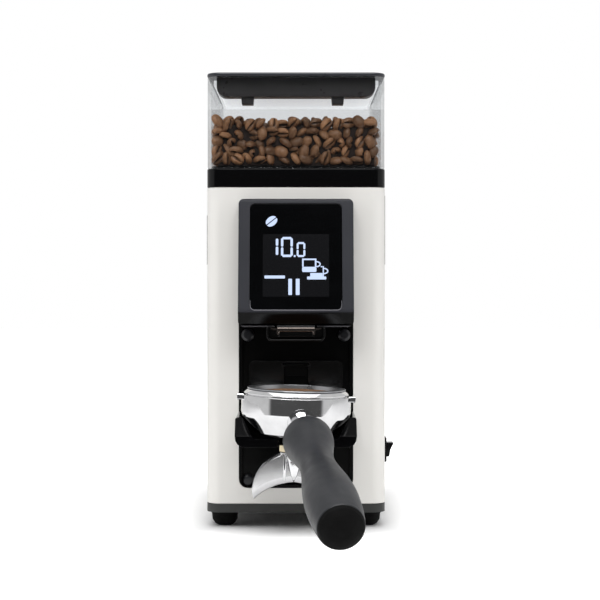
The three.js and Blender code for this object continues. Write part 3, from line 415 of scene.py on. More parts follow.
def settle(name, mesh, slot, body, replaced=(), sharp=32):
    """Faces outward, shading, material, body and slot of a new mesh."""
    cleaned = bmesh.new()
    cleaned.from_mesh(mesh)
    bmesh.ops.recalc_face_normals(cleaned, faces=cleaned.faces)
    cleaned.to_mesh(mesh)
    cleaned.free()
    mesh.shade_smooth()
    mesh.set_sharp_from_angle(angle=math.radians(sharp))
    mesh.materials.clear()
    mesh.materials.append(MATERIALS[slot])
    obj = bpy.data.objects.new(name, mesh)
    bpy.context.scene.collection.objects.link(obj)
    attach(obj, body)
    if replaced:
        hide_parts(*replaced)
    return obj


def weighted(obj):
    """Keeps large flat faces flat to the eye beside their rounded edges."""
    modifier = obj.modifiers.new("flat_faces", "WEIGHTED_NORMAL")
    modifier.keep_sharp = True
    return obj


def rounded_edges(obj, width, segments=2, angle=35):
    """The object with its edges over that angle eased by a bevel modifier."""
    modifier = obj.modifiers.new("eased", "BEVEL")
    modifier.width = width * MM
    modifier.segments = segments
    modifier.limit_method = "ANGLE"
    modifier.angle_limit = math.radians(angle)
    return weighted(obj)


def refined(node, slot, bevel=0.3, segments=2, angle=30, sharp=40, weld=0.02, look=None):
    """A copy of a CAD node's shape with its edges rounded, which stands for the node.

    look names another material than the slot's.
    """
    mesh = frame["nodes"][node].data.copy()
    shape = bmesh.new()
    shape.from_mesh(mesh)
    bmesh.ops.remove_doubles(shape, verts=shape.verts, dist=weld * MM)
    bmesh.ops.dissolve_limit(shape, angle_limit=math.radians(0.6), verts=shape.verts, edges=shape.edges)
    bmesh.ops.recalc_face_normals(shape, faces=shape.faces)
    edges = [e for e in shape.edges if len(e.link_faces) == 2 and e.calc_face_angle(0) > math.radians(angle)]
    bmesh.ops.bevel(
        shape, geom=edges, offset=bevel * MM, offset_type="OFFSET", segments=segments, profile=0.5,
        affect="EDGES", clamp_overlap=True, loop_slide=False)
    for layer in list(shape.loops.layers.uv):
        shape.loops.layers.uv.remove(layer)
    shape.to_mesh(mesh)
    shape.free()
    body = frame["nodes"][node]["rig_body"]
    obj = settle(f"{node}_finish", mesh, slot, body, (node,), sharp)
    if look:
        obj.data.materials[0] = MATERIALS[look]
    return weighted(obj)


def lathed(name, profile, slot, body, replaced=(), steps=96, place=None, sharp=32, corner=0.35):
    """A solid turned about +Z from a closed (radius, height) profile, its edges eased by that radius."""
    eased = []
    for i, point in enumerate(profile):
        near = min((Vector(point[:2]) - Vector(profile[j % len(profile)][:2])).length for j in (i - 1, i + 1))
        on_axis = point[0] < 0.01
        eased.append((*point[:2], 0 if on_axis else min(corner, near * 0.3)))
    verts, faces, rings = [], [], []
    for p in rounded_outline(eased, 3):
        if p.x < 0.01:
            rings.append([len(verts)])
            verts.append((0, 0, p.y))
            continue
        rings.append(list(range(len(verts), len(verts) + steps)))
        for k in range(steps):
            a = 2 * math.pi * k / steps
            verts.append((p.x * math.cos(a), p.x * math.sin(a), p.y))
    for i, ring in enumerate(rings):
        other = rings[(i + 1) % len(rings)]
        if len(ring) == 1 and len(other) == 1:
            continue
        for k in range(steps):
            j = (k + 1) % steps
            quad = [ring[k % len(ring)], ring[j % len(ring)], other[j % len(other)], other[k % len(other)]]
            faces.append([q for n, q in enumerate(quad) if q not in quad[:n]])
    return add(name, verts, faces, slot, body, replaced, sharp, place)


def prism_faces(count, start=0):
    """Side faces between two loops of that many points."""
    return [[start + k, start + (k + 1) % count, start + count + (k + 1) % count, start + count + k]
            for k in range(count)]


def capped_faces(count, start=0):
    """Side and end faces of a closed prism between two loops of that many points."""
    ends = [list(range(start, start + count)), list(range(start + count, start + 2 * count))]
    return prism_faces(count, start) + ends


def prism(name, outline, low, high, axis, slot, body, replaced=(), bevel=0.3, segments=2, sharp=40):
    """An outline carried along X, Y or Z between two heights, with eased edges."""
    def at(p, h):
        return {"x": (h, p[0], p[1]), "y": (p[0], h, p[1]), "z": (p[0], p[1], h)}[axis]

    verts = [at(p, low) for p in outline] + [at(p, high) for p in outline]
    obj = add(name, verts, capped_faces(len(outline)), slot, body, replaced, sharp)
    return rounded_edges(obj, bevel, segments)


def walls(name, outer, inner, low, high, slot, body, replaced=(), bevel=0.3):
    """An open frame: the space between two outlines with the same number of points."""
    count = len(outer)
    verts = [(*p, h) for loop in (outer, inner) for h in (low, high) for p in loop]
    faces = prism_faces(count) + prism_faces(count, 2 * count)
    for base in (0, count):
        for k in range(count):
            j = (k + 1) % count
            faces.append([base + k, base + j, base + 2 * count + j, base + 2 * count + k])
    return rounded_edges(add(name, verts, faces, slot, body, replaced, 40), bevel)


# ---- Hopper, beans and lid -----------------------------------------------------------------------


def make_hopper():
    outer, inner = plan(0.3), plan(0.3 + HOPPER["wall"])
    low, high = HOPPER["bottom"], HOPPER["top"]
    walls("hopper_walls", outer, inner, low, high, "clear_plastic", "hopper", ("hopper",), 0.5)


def bean_shape():
    """One bean along X, flat side down, with its crease: unit verts, faces and a tone for each vert."""
    dome = [(math.cos(a), math.sin(a)) for a in (math.pi * k / 6 for k in range(7))]
    base = [(-0.88, -0.42), (-0.34, -0.66), (0.0, -0.12), (0.34, -0.66), (0.88, -0.42)]
    section = dome + base
    verts, tones, faces = [(1, 0, 0)], [0.5], []
    turns = [math.radians(a) for a in (24, 50, 76, 104, 130, 156)]
    for phi in turns:
        x, r = math.cos(phi), math.sin(phi) ** 0.85
        for k, (y, z) in enumerate(section):
            crease = k == 9
            verts.append((x, r * y + (0.12 * math.sin(3 * x) if crease else 0), r * z))
            # The crease's low tone is painted shade in its hollow; the flat side's other points are a little
            # paler.
            tones.append(0.05 if crease else 0.55 if z > -0.4 else 0.7)
    verts.append((-1, 0, 0))
    tones.append(0.5)
    n = len(section)
    for k in range(n):
        j = (k + 1) % n
        faces.append((0, 1 + k, 1 + j))
        for ring in range(len(turns) - 1):
            a = 1 + ring * n
            faces.append((a + k, a + n + k, a + n + j, a + j))
        faces.append((len(verts) - 1, len(verts) - 1 - n + j, len(verts) - 1 - n + k))
    size = np.array([BEAN["length"], BEAN["width"], BEAN["height"]])
    return np.array(verts) * size, faces, np.array(tones)


def bean_surface(x, y):
    """Height of the heap's uneven top."""
    broad = noise.noise(Vector((x * 0.035, y * 0.035, 3)))
    fine = noise.noise(Vector((x * 0.11, y * 0.11, 8)))
    return BEAN_SURFACE + (4 * broad + 2 * fine)


def bean_places(random):
    """Centres of the beans that can be seen: along the walls and over the top, spread evenly by relaxing."""
    inset = HOPPER["wall"] + 4.2
    low = np.array([-HOPPER["half"] + inset, HOPPER["front"] + inset, BEAN_FLOOR + 3.2])
    high = np.array([HOPPER["half"] - inset, HOPPER["back"] - inset, 0])
    step = BEAN["spacing"]
    spots = []
    for x in np.arange(low[0], high[0] + 1, step[0]):
        for y in np.arange(low[1], high[1] + 1, step[1]):
            top = bean_surface(x, y)
            for z in np.arange(low[2], top, step[2]):
                rim = min(x - low[0], high[0] - x, y - low[1], high[1] - y)
                if rim < BEAN["depth"] or top - z < BEAN["depth"]:
                    spots.append((x, y, z))
    spots = np.array(spots) + random.uniform(-2.4, 2.4, (len(spots), 3))
    reach = 7.6
    for _ in range(14):
        gaps = spots[:, None, :] - spots[None, :, :]
        far = np.sqrt((gaps ** 2).sum(2)) + np.eye(len(spots)) * 99
        push = np.clip(reach - far, 0, None) / far
        spots += (gaps * push[:, :, None]).sum(1) * 0.32
        tops = np.array([bean_surface(x, y) for x, y, _ in spots])
        spots[:, :2] = np.clip(spots[:, :2], low[:2], high[:2])
        spots[:, 2] = np.clip(spots[:, 2], low[2], tops)
    return spots


def make_beans():
    random = np.random.default_rng(7)
    shape, shape_faces, shape_tones = bean_shape()
    spots = bean_places(random)
    wall = HOPPER["wall"] + 0.3
    room = (np.array([wall - HOPPER["half"], HOPPER["front"] + wall, BEAN_FLOOR]),
            np.array([HOPPER["half"] - wall, HOPPER["back"] - wall, HOPPER["top"]]))
    verts, faces, tones = [], [], []
    for spot in spots:
        axes = np.linalg.qr(random.normal(size=(3, 3)))[0]
        axes[:, 0] *= np.sign(np.linalg.det(axes))
        size = random.uniform(0.86, 1.08)
        start = len(verts) * len(shape)
        placed = (shape * size) @ axes.T + spot
        placed += np.maximum(room[0] - placed.min(0), 0) - np.maximum(placed.max(0) - room[1], 0)
        verts.append(placed)
        faces += [tuple(start + i for i in face) for face in shape_faces]
        # Painted shade: each point's tone darkens with its depth into the heap, the lesser of its distance
        # from the nearest wall and from the heap's top.
        rim = np.minimum(placed - room[0], room[1] - placed)[:, :2].min(1)
        sunk = np.clip(np.minimum(rim, bean_surface(spot[0], spot[1]) + 3 - placed[:, 2]), 0, None)
        shade = np.clip(1.12 - sunk / BEAN["depth"], 0.03, 1)
        tones.append(np.clip(shape_tones * random.uniform(0.55, 1.5) * shade, 0, 1))
    verts = np.concatenate(verts).tolist()
    pile = add("bean_pile", verts, faces, "roasted_bean", "hopper", ("bean_fill",), 60)
    tone = pile.data.attributes.new("tone", "FLOAT", "POINT")
    tone.data.foreach_set("value", np.concatenate(tones).astype(np.float32))
    make_bean_core()


def make_bean_core():
    """The mass behind the outer beans, painted near black as shade, lumpy so that no flat face shows between
    them.
    """
    inset, sunk, lump = 7.5, 4, 1.5
    nx, ny = 18, 26
    layer = nx * ny
    xs = np.linspace(-HOPPER["half"] + inset, HOPPER["half"] - inset, nx)
    ys = np.linspace(HOPPER["front"] + inset, HOPPER["back"] - inset, ny)

    def top(x, y):
        return bean_surface(x, y) - sunk + lump * noise.noise(Vector((x * 0.3, y * 0.3, 1)))

    verts = [(x, y, top(x, y)) for y in ys for x in xs]
    verts += [(x, y, BEAN_FLOOR) for y in ys for x in xs]
    faces = []
    for j in range(ny - 1):
        for i in range(nx - 1):
            a = j * nx + i
            faces.append((a, a + 1, a + nx + 1, a + nx))
            faces.append((layer + a, layer + a + nx, layer + a + nx + 1, layer + a + 1))
    rim = [i for i in range(nx)] + [j * nx + nx - 1 for j in range(1, ny)]
    rim += [(ny - 1) * nx + i for i in range(nx - 2, -1, -1)] + [j * nx for j in range(ny - 2, 0, -1)]
    for k, a in enumerate(rim):
        b = rim[(k + 1) % len(rim)]
        faces.append((a, a + layer, b + layer, b))
    core = add("bean_core", verts, faces, "roasted_bean", "hopper")
    tone = core.data.attributes.new("tone", "FLOAT", "POINT")
    # Painted shade: the core takes the lowest tone, the darkest brown.
    tone.data.foreach_set("value", np.full(len(verts), 0.01, np.float32))


def make_lid():
    outline = plan(0, 12)
    low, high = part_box("lid")[0].z / MM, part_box("lid")[1].z / MM
    prism("lid_flange", outline, low, high, "z", "lid_black", "lid", ("lid",), 1.1, 4, sharp=60)
    refined("lid_liner", "liner_smoke", 0.5, 3)
    refined("lid_seal", "seal_white", 0.4, 2)


# ---- Display -------------------------------------------------------------------------------------

GLASS_TOP = -0.2  # how far the glass's front lies behind the bezel's face
MARK_RISE = 0.03


def on_face(x, z, out):
    """A point at that x and height on the raked face, raised out of it."""
    y = CREASE[0] + (z - CREASE[1]) * math.tan(FACE_SLOPE)
    return (x, y - out * math.cos(FACE_SLOPE), z + out * math.sin(FACE_SLOPE))


def mark(name, outlines, slot="display_white", rise=MARK_RISE):
    """Flat lit figures on the glass: each outline is a list of (x, z)."""
    verts, faces = [], []
    for outline in outlines:
        n, base = len(outline), len(verts)
        verts += [on_face(x, z, GLASS_TOP + rise) for x, z in outline]
        verts += [on_face(x, z, GLASS_TOP + 0.004) for x, z in outline]
        faces += capped_faces(n, base)
    return add(name, verts, faces, slot, "housing")


def bar(u, v, cut=0.0):
    """A bar's outline with its corners cut off."""
    return [(u[0] + cut, v[0]), (u[1] - cut, v[0]), (u[1], v[0] + cut), (u[1], v[1] - cut),
            (u[1] - cut, v[1]), (u[0] + cut, v[1]), (u[0], v[1] - cut), (u[0], v[0] + cut)]


def frame_bars(u, v, line):
    """The four sides of a rectangular figure, a hair apart, as on a segmented digit."""
    gap, middle = 0.25, (v[0] + v[1]) / 2
    end, cut = gap + line * 0.4, line * 0.3
    sides = [bar((u[0] + end, u[1] - end), (z, z + line), cut) for z in (v[0], v[1] - line)]
    for x in (u[0], u[1] - line):
        sides.append(bar((x, x + line), (v[0] + end, middle - gap), cut))
        sides.append(bar((x, x + line), (middle + gap, v[1] - end), cut))
    return sides


def cup_ear(x, v, reach, line):
    """A cup's round handle, from its wall at x between two heights."""
    middle, half = (v[0] + v[1]) / 2, (v[1] - v[0]) / 2
    arc = [math.pi * (k / 12 - 0.5) for k in range(13)]
    outer = [(x + reach * math.cos(a), middle + half * math.sin(a)) for a in arc]
    inner = [(x + (reach - line) * math.cos(a), middle + (half - line) * math.sin(a)) for a in reversed(arc)]
    return outer + inner


def cup_figures():
    """A large cup part full, and a small one half hidden behind it."""
    wall = 1.1
    large = [bar((4.4, 4.4 + wall), (189.9, 195.8), 0.1), bar((14.6 - wall, 14.6), (189.9, 195.8), 0.1),
             bar((4.4 + wall, 14.6 - wall), (195.8 - wall, 195.8)), bar((4.4, 14.6), (186.2, 189.9), 0.6),
             cup_ear(14.6, (189.6, 194.0), 3.1, 0.9)]
    small = [bar((10.2, 19.0), (182.9, 185.5), 0.1), bar((19.1, 19.9), (182.9, 190.4), 0.2),
             bar((17.6, 19.0), (189.6, 190.4), 0.1), cup_ear(19.9, (184.6, 189.2), 3.2, 0.9)]
    return large + small


def glass_edge_highlight():
    """A painted highlight on the lower edge of the glass: a grey U with round corners."""
    low, high = (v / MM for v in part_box("display_glass"))
    left, right, v, line, rise = low.x + 0.1, high.x - 0.1, low.z + 0.15, 0.45, 7
    outer = [(left, v + rise), (left, v, 3.4), (right, v, 3.4), (right, v + rise)]
    inner = [(right - line * 0.4, v + rise), (right - line, v + line, 3.0), (left + line, v + line, 3.0),
             (left + line * 0.4, v + rise)]
    return [rounded_outline(outer, 8) + rounded_outline(inner, 8)]


def make_display():
    refined("display_bezel", "satin_black", 0.9, 4, 22, look="bezel_coat")
    refined("display_glass", "display_glass", 0.25, 3)
    mark("display_field", [rectangle((-23.6, 23.6), (168.7, 213.3), 0.6)], "display_field", 0.015)
    mark("display_one", [bar((-14.4, -12.6), (205.0, 210.1), 0.5), bar((-14.4, -12.6), (198.4, 204.4), 0.5)])
    mark("display_zero", frame_bars((-10.7, -2.2), (196.9, 211.3), 1.7))
    mark("display_point", [bar((-1.6, -0.2), (196.9, 198.3), 0.3)])
    mark("display_tenth", frame_bars((0.5, 6.7), (196.9, 207.6), 1.4))
    mark("display_cups", cup_figures())
    # Painted highlight: a grey strip stands for the light on the glass's lower bevel.
    mark("display_edge_highlight", glass_edge_highlight(), "painted_highlight_grey", 0.12)
    mark("display_saucer", [bar((7.9, 21.6), (180.9, 183.0), 0.4)])
    mark("display_level", [bar((-22.4, -7.8), (181.6, 183.7), 0.3)])
    mark("display_pause", [bar((-5.4, -2.8), (169.9, 181.4), 0.3), bar((-0.1, 2.6), (169.9, 181.4), 0.3)])
    mark("display_bean", bean_icon(-17.5, 222.6, 4.4, 3.3))


def bean_icon(x, z, long, short):
    """A plain coffee bean: two half ovals with a gap between them."""
    halves = []
    for side in (-1, 1):
        arc = [math.pi * (k / 12) for k in range(13)]
        points = [(long * math.cos(a), side * (0.35 + (short - 0.35) * math.sin(a))) for a in arc]
        halves.append([Vector((x, z)) + turned(p, math.radians(38)) for p in points])
    return halves


# ---- Portafilter ---------------------------------------------------------------------------------

PORTAFILTER = Matrix.Translation(BASKET_CENTRE) @ Matrix.Rotation(ROLL, 4, "Y")
GRIP_TILT = Vector((0, 0, 1)).rotation_difference(GRIP_AXIS).to_matrix().to_4x4()
GRIP = PORTAFILTER @ Matrix.Translation(GRIP_START) @ GRIP_TILT

# Closed half outlines, (radius, height), each turned about its own axis
CUP = [(30.4, -0.9), (33.8, -0.9), (36.4, -3.3), (36.3, -3.8), (35.0, -4.0), (35.0, -4.6), (37.6, -4.7),
       (38, -5.1), (38, -16.4), (36.9, -19.4), (28.8, -30.4), (24, -32.4), (6, -33.2), (6, -29.4),
       (24, -28.4), (30.4, -24.6)]
NECK = [(0, -26), (9.6, -26), (9.3, -17), (9.0, -8), (9.4, -3.4), (11.8, -1.2), (12.6, -0.35), (0, -0.35)]
BASKET = [(0, -22.8), (28.4, -22.8), (28.9, 0.25), (33.9, 0.25), (34.15, -0.1), (33.9, -0.5), (30, -0.5),
          (29.6, -23.8), (0, -23.8)]
GRIP_PROFILE = [
    (0, 0), (13.4, 0), (15.6, 1.6), (16.4, 5.4), (16.1, 13), (14.2, 23), (12.2, 35), (11.4, 46), (11.8, 57),
    (13.4, 71), (15.4, 87), (16.4, 104), (15.8, 121), (15, 130), (14.2, 136.4)]
GRIP_CAP = [(0, 135), (12.9, 135), (13.6, 136.2), (13.9, 137.4), (12.9, 139.4), (9, 142.3), (5, 144.1),
            (0, 144.6)]


def smooth_profile(points, keep, steps=5):
    """A Catmull-Rom curve through the points after the first few, which stay as they are."""
    path = [Vector(p) for p in points]
    curve = path[:keep]
    for i in range(keep - 1, len(path) - 1):
        a, b = path[max(i - 1, 0)], path[i]
        c, d = path[i + 1], path[min(i + 2, len(path) - 1)]
        for step in range(1, steps + 1):
            t = step / steps
            cubic = (3 * b - a - 3 * c + d) * t ** 3
            p = 0.5 * ((2 * b) + (c - a) * t + (2 * a - 5 * b + 4 * c - d) * t * t + cubic)
            curve.append(Vector((max(p.x, 0), p.y)))
    return [(p.x, p.y) for p in curve]


def make_portafilter():
    body = "portafilter"
    lathed("portafilter_bowl", CUP, "chrome", body, ("portafilter_cup",), 128, PORTAFILTER, 24, 0.7)
    lathed("portafilter_neck", NECK, "chrome", body, (), 64, GRIP, 24, 0.4)
    lathed("basket_shell", BASKET, "steel", body, ("filter_basket",), 96, PORTAFILTER, 30, 0.2)
    grip = smooth_profile(GRIP_PROFILE, 4) + [(13.7, 136.9), (0, 136.9)]
    lathed("grip_moulding", grip, "soft_grip", body, ("portafilter_handle",), 72, GRIP, 26, 0.3)
    cap = GRIP_CAP[:4] + smooth_profile(GRIP_CAP[4:], 1)
    lathed("grip_cap", cap, "foot_rubber", body, (), 72, GRIP, 26, 0.2)
    make_lugs(body)
    make_spout(body)
    make_grounds()


def make_lugs(body):
    """The two ears on the cup's sides."""
    section = rectangle((-7, 7), (-8.4, -4.2), 0.8, steps=3)
    for side, name in ((-1, "left"), (1, "right")):
        ends = sorted((side * 36.2, side * 41))
        verts = [(x, p.x, p.y) for x in ends for p in section]
        faces = capped_faces(len(section))
        lug = add(f"portafilter_lug_{name}", verts, faces, "chrome", body, (), 40, PORTAFILTER)
        rounded_edges(lug, 0.6, 3, 30)


SPOUT = {"half": 9.5, "wall": 1.5, "round": 5.2}
RIM_CURVE = [(7.0, -44.6), (26, -51.5), (28.8, -69.4)]
FLOOR_CURVE = [(0, -64.7), (17.5, -66.4), (27.3, -77.3)]


def on_curve(points, t):
    a, b, c = (Vector(p) for p in points)
    return a * (1 - t) ** 2 + b * 2 * t * (1 - t) + c * t * t


def trough_section(depth):
    """An open channel's closed outline, (across, height): its round floor at 0, its rims at depth."""
    half, wall, bend = SPOUT["half"], SPOUT["wall"], min(SPOUT["round"], depth * 0.8)
    outside, inside = [], []
    for step in range(7):
        a = math.pi / 2 * step / 6
        outside.append((half - bend + bend * math.cos(a), bend - bend * math.sin(a)))
        inner = max(bend - wall, 0.5)
        inside.append((half - bend + inner * math.cos(a), bend - inner * math.sin(a)))
    right = [(half, depth)] + outside
    left = [(-x, h) for x, h in reversed(right)]
    back = [(-half + wall, depth)] + [(-x, h) for x, h in inside]
    return right + left + back + [(x, h) for x, h in reversed(inside)] + [(half - wall, depth)]


def make_spout(body):
    """Twin spout: two open channels that curve out and down from a round boss under the cup."""
    stations = 26
    for side, name in ((-1, "left"), (1, "right")):
        verts, faces = [], []
        for station in range(stations + 1):
            t = station / stations
            rim, floor = on_curve(RIM_CURVE, t), on_curve(FLOOR_CURVE, t)
            up = (rim - floor).normalized()
            for across, height in trough_section((rim - floor).length):
                p = floor + up * height
                verts.append((side * p.x, across, p.y))
        count = len(verts) // (stations + 1)
        for station in range(stations):
            faces += prism_faces(count, station * count)
        faces += [list(range(count)), list(range(len(verts) - count, len(verts)))]
        stands_for = ("spout",) if side < 0 else ()
        channel = add(f"spout_channel_{name}", verts, faces, "chrome", body, stands_for, 40, PORTAFILTER)
        rounded_edges(channel, 0.35, 2, 50).data.materials[0] = MATERIALS["spout_plate"]
    boss = [(0, -63), (7.5, -63), (9.3, -60), (9.3, -50), (10.2, -46), (10.2, -44), (0, -44)]
    lathed("spout_boss", boss, "chrome", body, (), 64, PORTAFILTER, 30, 0.5)
    for x, name in ((-6.6, "left"), (6.6, "right")):
        rib = [(0, -63), (1.0, -63), (1.0, -46.5), (0, -46.5)]
        where = PORTAFILTER @ Matrix.Translation((x, -9.2, 0))
        lathed(f"spout_rib_{name}", rib, "chrome", body, (), 20, where, 30, 0.3)
    nut = [(0, -44.3), (10.6, -44.3), (10.6, -36), (10, -33.4), (0, -33.4)]
    lathed("spout_nut", nut, "nickel", body, (), 6, PORTAFILTER, 20, 0.5)


def make_grounds():
    """The dose of ground coffee: a low uneven mound."""
    centre, fall, edge, floor = -1.0, 1.6, 28.0, -22.4
    rings, steps = 22, 64
    spokes = [2 * math.pi * k / steps for k in range(steps)]
    verts = [(0, 0, centre)]
    for ring in range(1, rings + 1):
        radius = edge * ring / rings
        for a in spokes:
            x, y = radius * math.cos(a), radius * math.sin(a)
            lumps = 0.5 * noise.noise(Vector((x * 0.35, y * 0.35, 2))) + 0.3 * noise.noise(Vector((x, y, 5)))
            verts.append((x, y, centre - fall * (radius / edge) ** 2 + 0.6 * lumps))
    verts += [((edge - 0.2) * math.cos(a), (edge - 0.2) * math.sin(a), floor) for a in spokes]
    faces = [(0, 1 + k, 1 + (k + 1) % steps) for k in range(steps)]
    for ring in range(rings):
        faces += prism_faces(steps, 1 + ring * steps)
    faces.append(tuple(range(len(verts) - steps, len(verts))))
    add("coffee_bed", verts, faces, "ground_coffee", "portafilter", ("coffee_grounds",), 60, PORTAFILTER)


# ---- Body, base and fittings -------------------------------------------------------------------------

# CAD nodes redrawn with eased edges: slot, bevel, segments and, for some, a finer material
REFINED = {
    "body_shell": ("shell_paint", 0.35, 3), "collar": ("gloss_black", 0.6, 3),
    "base_plate": ("base_grey", 0.5, 3), "front_panel": ("panel_black", 0.4, 2),
    "outlet_shroud": ("cell_black", 0.3, 3), "cell_plate": ("cell_black", 0.6, 3),
    "switch_paddle": ("panel_black", 0.3, 2), "portafilter_fork": ("gloss_black", 0.7, 3, "fork_coat"),
    "vent_plate": ("satin_black", 0.35, 2), "adjuster_cover": ("satin_black", 0.35, 2),
    "adjuster_wheel": ("satin_black", 0.2, 2), "rocker_bezel": ("panel_black", 0.3, 2),
    "power_rocker": ("gloss_black", 0.3, 3), "rear_cover": ("satin_black", 0.3, 2),
    "power_inlet": ("panel_black", 0.3, 2), "shutoff_gate": ("satin_black", 0.3, 2),
    "hopper_funnel": ("gloss_black", 0.3, 2),
}

# Inner CAD nodes that keep their shape
KEPT = {
    "chassis": "steel", "rotor": "steel", "motor_shaft": "steel", "chute": "steel",
    "motor_bearing_lower": "steel", "motor_bearing_upper": "steel",
    "lower_burr": "steel", "upper_burr": "steel", "stator": "copper",
    "motor_housing": "cast_aluminium", "grinding_chamber": "cast_aluminium",
    "motor_capacitor": "cast_aluminium",
    "lower_burr_carrier": "brass", "upper_burr_carrier": "brass", "adjust_ring": "brass",
    "display_module": "circuit_board", "control_board": "circuit_board", "microswitch": "panel_black",
}


def make_pegs():
    """Round domed caps over the panel's screws, turned about the line that runs to the rear."""
    for node in sorted(n for n in frame["nodes"] if n.startswith("panel_peg")):
        low, high = (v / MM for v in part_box(node))
        centre, radius, deep = (low + high) / 2, (high.x - low.x) / 2, high.y - low.y
        profile = [(0, 0), (radius, 0), (radius, deep - 1.6), (radius - 1.7, deep - 0.15), (0, deep)]
        place = Matrix.Translation((centre.x, high.y, centre.z)) @ Matrix.Rotation(math.pi / 2, 4, "X")
        cap = lathed(f"{node}_cap", profile, "gloss_black", "housing", (node,), 40, place, 30, 0.8)
        cap.data.materials[0] = MATERIALS["satin_black"]


def make_nozzle():
    """Metal lip of the outlet: a short front bar between two pillars, walls behind, an ear on each side."""
    low, high = (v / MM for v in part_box("outlet_nozzle"))
    half, wall, drop, foot = 13.7, 1.6, 3.1, low.z + 2
    bar_low, inner = high.z - drop, half - wall
    arch = rounded_outline([
        (-half, high.z), (-half, foot, 0.6), (-inner, foot, 0.6), (-inner, bar_low, 1.0),
        (inner, bar_low, 1.0), (inner, foot, 0.6), (half, foot, 0.6), (half, high.z)], 4)
    prism("nozzle_lip", arch, low.y, low.y + wall, "y", "dark_chrome", "housing", ("outlet_nozzle",), 0.8, 3)
    front, back = low.y + wall, high.y - wall
    channel = [(-half, front), (-half, high.y), (half, high.y), (half, front), (inner, front),
               (inner, back), (-inner, back), (-inner, front)]
    inside = prism("nozzle_walls", channel, low.z, high.z, "z", "dark_chrome", "housing")
    inside.data.materials[0] = MATERIALS["cell_black"]
    for side, name in ((-1, "left"), (1, "right")):
        start, end = side * half, side * (high.x - low.x) / 2
        ear = [(start, high.z - 2.4), (start, high.z - 0.3), (end, high.z), (end, high.z - 1.5)]
        outline = rounded_outline([(*p, 0.5) for p in ear], 3)
        prism(f"nozzle_ear_{name}", outline, low.y + 4, low.y + 11, "y", "dark_chrome", "housing", (), 0.3, 2)


def make_body():
    make_pegs()
    make_nozzle()
    for node, (slot, bevel, segments, *look) in REFINED.items():
        refined(node, slot, bevel, segments, look=look[0] if look else None)
    for node in sorted(n for n in frame["nodes"] if n.startswith("foot_")):
        refined(node, "foot_rubber", 0.8, 3)
    for node in sorted(n for n in frame["nodes"] if n.startswith("rear_cover_screw")):
        refined(node, "steel", 0.25, 2)
    for node, slot in KEPT.items():
        data = frame["nodes"][node].data
        data.materials.clear()
        data.materials.append(MATERIALS[slot])


# ---- Camera, light and floor ---------------------------------------------------------------------------


def make_camera():
    data = bpy.data.cameras.new("camera")
    data.lens = CAMERA["lens"]
    data.sensor_width = 36
    data.shift_y = CAMERA["shift"]
    data.clip_end = 100
    camera = bpy.data.objects.new("camera", data)
    camera.location = Vector((CAMERA["x"], CAMERA["y"], CAMERA["z"])) * MM
    camera.rotation_euler = (math.pi / 2, 0, 0)
    bpy.context.scene.collection.objects.link(camera)
    bpy.context.scene.camera = camera


def panel_light(name, place, target, size, power, mirrored=True):
    """A soft rectangular lamp, not seen by the camera itself, and in reflections only if mirrored."""
    data = bpy.data.lights.new(name, "AREA")
    data.shape = "RECTANGLE"
    data.size, data.size_y = size
    data.energy = power
    lamp = bpy.data.objects.new(name, data)
    lamp.location = place
    lamp.rotation_euler = (Vector(target) - Vector(place)).to_track_quat("-Z", "Y").to_euler()
    lamp.visible_camera = False
    lamp.visible_glossy = mirrored
    bpy.context.scene.collection.objects.link(lamp)


def make_world():
    """A white studio all round, with the darker room in front that gloss and chrome reflect."""
    world = bpy.data.worlds.new("studio")
    bpy.context.scene.world = world
    world.use_nodes = True
    tree = world.node_tree
    tree.nodes.clear()
    new = tree.nodes.new
    place, split = new("ShaderNodeTexCoord"), new("ShaderNodeSeparateXYZ")
    tree.links.new(place.outputs["Generated"], split.inputs["Vector"])
    front = new("ShaderNodeMapRange")
    front.interpolation_type = "SMOOTHSTEP"
    for socket, key in (("From Min", "from"), ("From Max", "to"), ("To Min", "dark"), ("To Max", "bright")):
        front.inputs[socket].default_value = ROOM[key]
    tree.links.new(split.outputs["Y"], front.inputs["Value"])
    room, plain, choose = new("ShaderNodeBackground"), new("ShaderNodeBackground"), new("ShaderNodeMixShader")
    tree.links.new(front.outputs["Result"], room.inputs["Color"])
    room.inputs["Strength"].default_value = 1.0
    plain.inputs["Color"].default_value = (1, 1, 1, 1)
    sight, output = new("ShaderNodeLightPath"), new("ShaderNodeOutputWorld")
    tree.links.new(sight.outputs["Is Camera Ray"], choose.inputs["Fac"])
    tree.links.new(room.outputs["Background"], choose.inputs[1])
    tree.links.new(plain.outputs["Background"], choose.inputs[2])
    tree.links.new(choose.outputs["Shader"], output.inputs["Surface"])


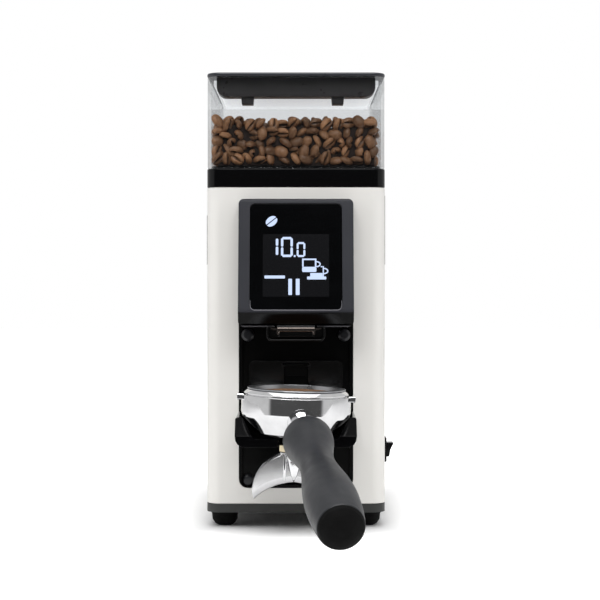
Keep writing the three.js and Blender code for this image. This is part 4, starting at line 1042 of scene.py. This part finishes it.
def make_floor():
    """White sweep that stays bright to the camera everywhere but under the grinder."""
    n = Nodes("studio_floor")
    drift = n.ranged(n.noise(3, 2), 0, 1)
    n.set(Base_Color=n.blend(drift, (0.93, 0.93, 0.93), (0.95, 0.95, 0.95)), Roughness=0.6)
    split = n.tree.nodes.new("ShaderNodeSeparateXYZ")
    n.link(n.place, split.inputs["Vector"])
    outside = []
    for axis, half in (("X", BODY["half"]), ("Y", BODY["depth"] / 2)):
        size, gap = n.tree.nodes.new("ShaderNodeMath"), n.tree.nodes.new("ShaderNodeMath")
        size.operation, gap.operation = "ABSOLUTE", "SUBTRACT"
        gap.inputs[1].default_value = half * MM
        n.link(split.outputs[axis], size.inputs[0])
        n.link(size.outputs[0], gap.inputs[0])
        outside.append(gap.outputs[0])
    beyond, seen = n.tree.nodes.new("ShaderNodeMath"), n.tree.nodes.new("ShaderNodeMath")
    beyond.operation, seen.operation = "MAXIMUM", "MULTIPLY"
    n.link(outside[0], beyond.inputs[0])
    n.link(outside[1], beyond.inputs[1])
    n.link(n.ranged(beyond.outputs[0], 0.0, 0.6, -0.004, 0.06), seen.inputs[0])
    n.link(n.tree.nodes.new("ShaderNodeLightPath").outputs["Is Camera Ray"], seen.inputs[1])
    n.set(Specular_IOR_Level=0.2, Emission_Color=(1.0, 1.0, 1.0), Emission_Strength=seen.outputs[0])
    mesh = bpy.data.meshes.new("studio_floor")
    mesh.from_pydata([(-4, -0.46, 0), (4, -0.46, 0), (4, 4, 0), (-4, 4, 0)], [], [(0, 1, 2, 3)])
    mesh.materials.append(n.material)
    floor = bpy.data.objects.new("studio_floor", mesh)
    floor.location = (0, (FRONT + BODY["depth"] / 2) * MM, 0)
    bpy.context.scene.collection.objects.link(floor)


def make_stage():
    make_world()
    make_floor()
    panel_light("front_top_panel", (0.0, -1.15, 1.5), (0, 0.0, 0.2), (1.7, 0.9), 26)
    panel_light("left_panel", (-1.3, -0.75, 0.6), (0, 0.05, 0.18), (1.1, 1.4), 4.4, mirrored=False)
    panel_light("right_panel", (1.35, -0.75, 0.6), (0, 0.05, 0.18), (1.0, 1.4), 3.5, mirrored=False)
    panel_light("top_panel", (0, 0.25, 1.7), (0, 0.1, 0.2), (1.6, 1.2), 5)
    bpy.context.scene.view_settings.view_transform = "Standard"


make_camera()
make_stage()
make_body()
make_display()
make_hopper()
make_beans()
make_lid()
make_portafilter()
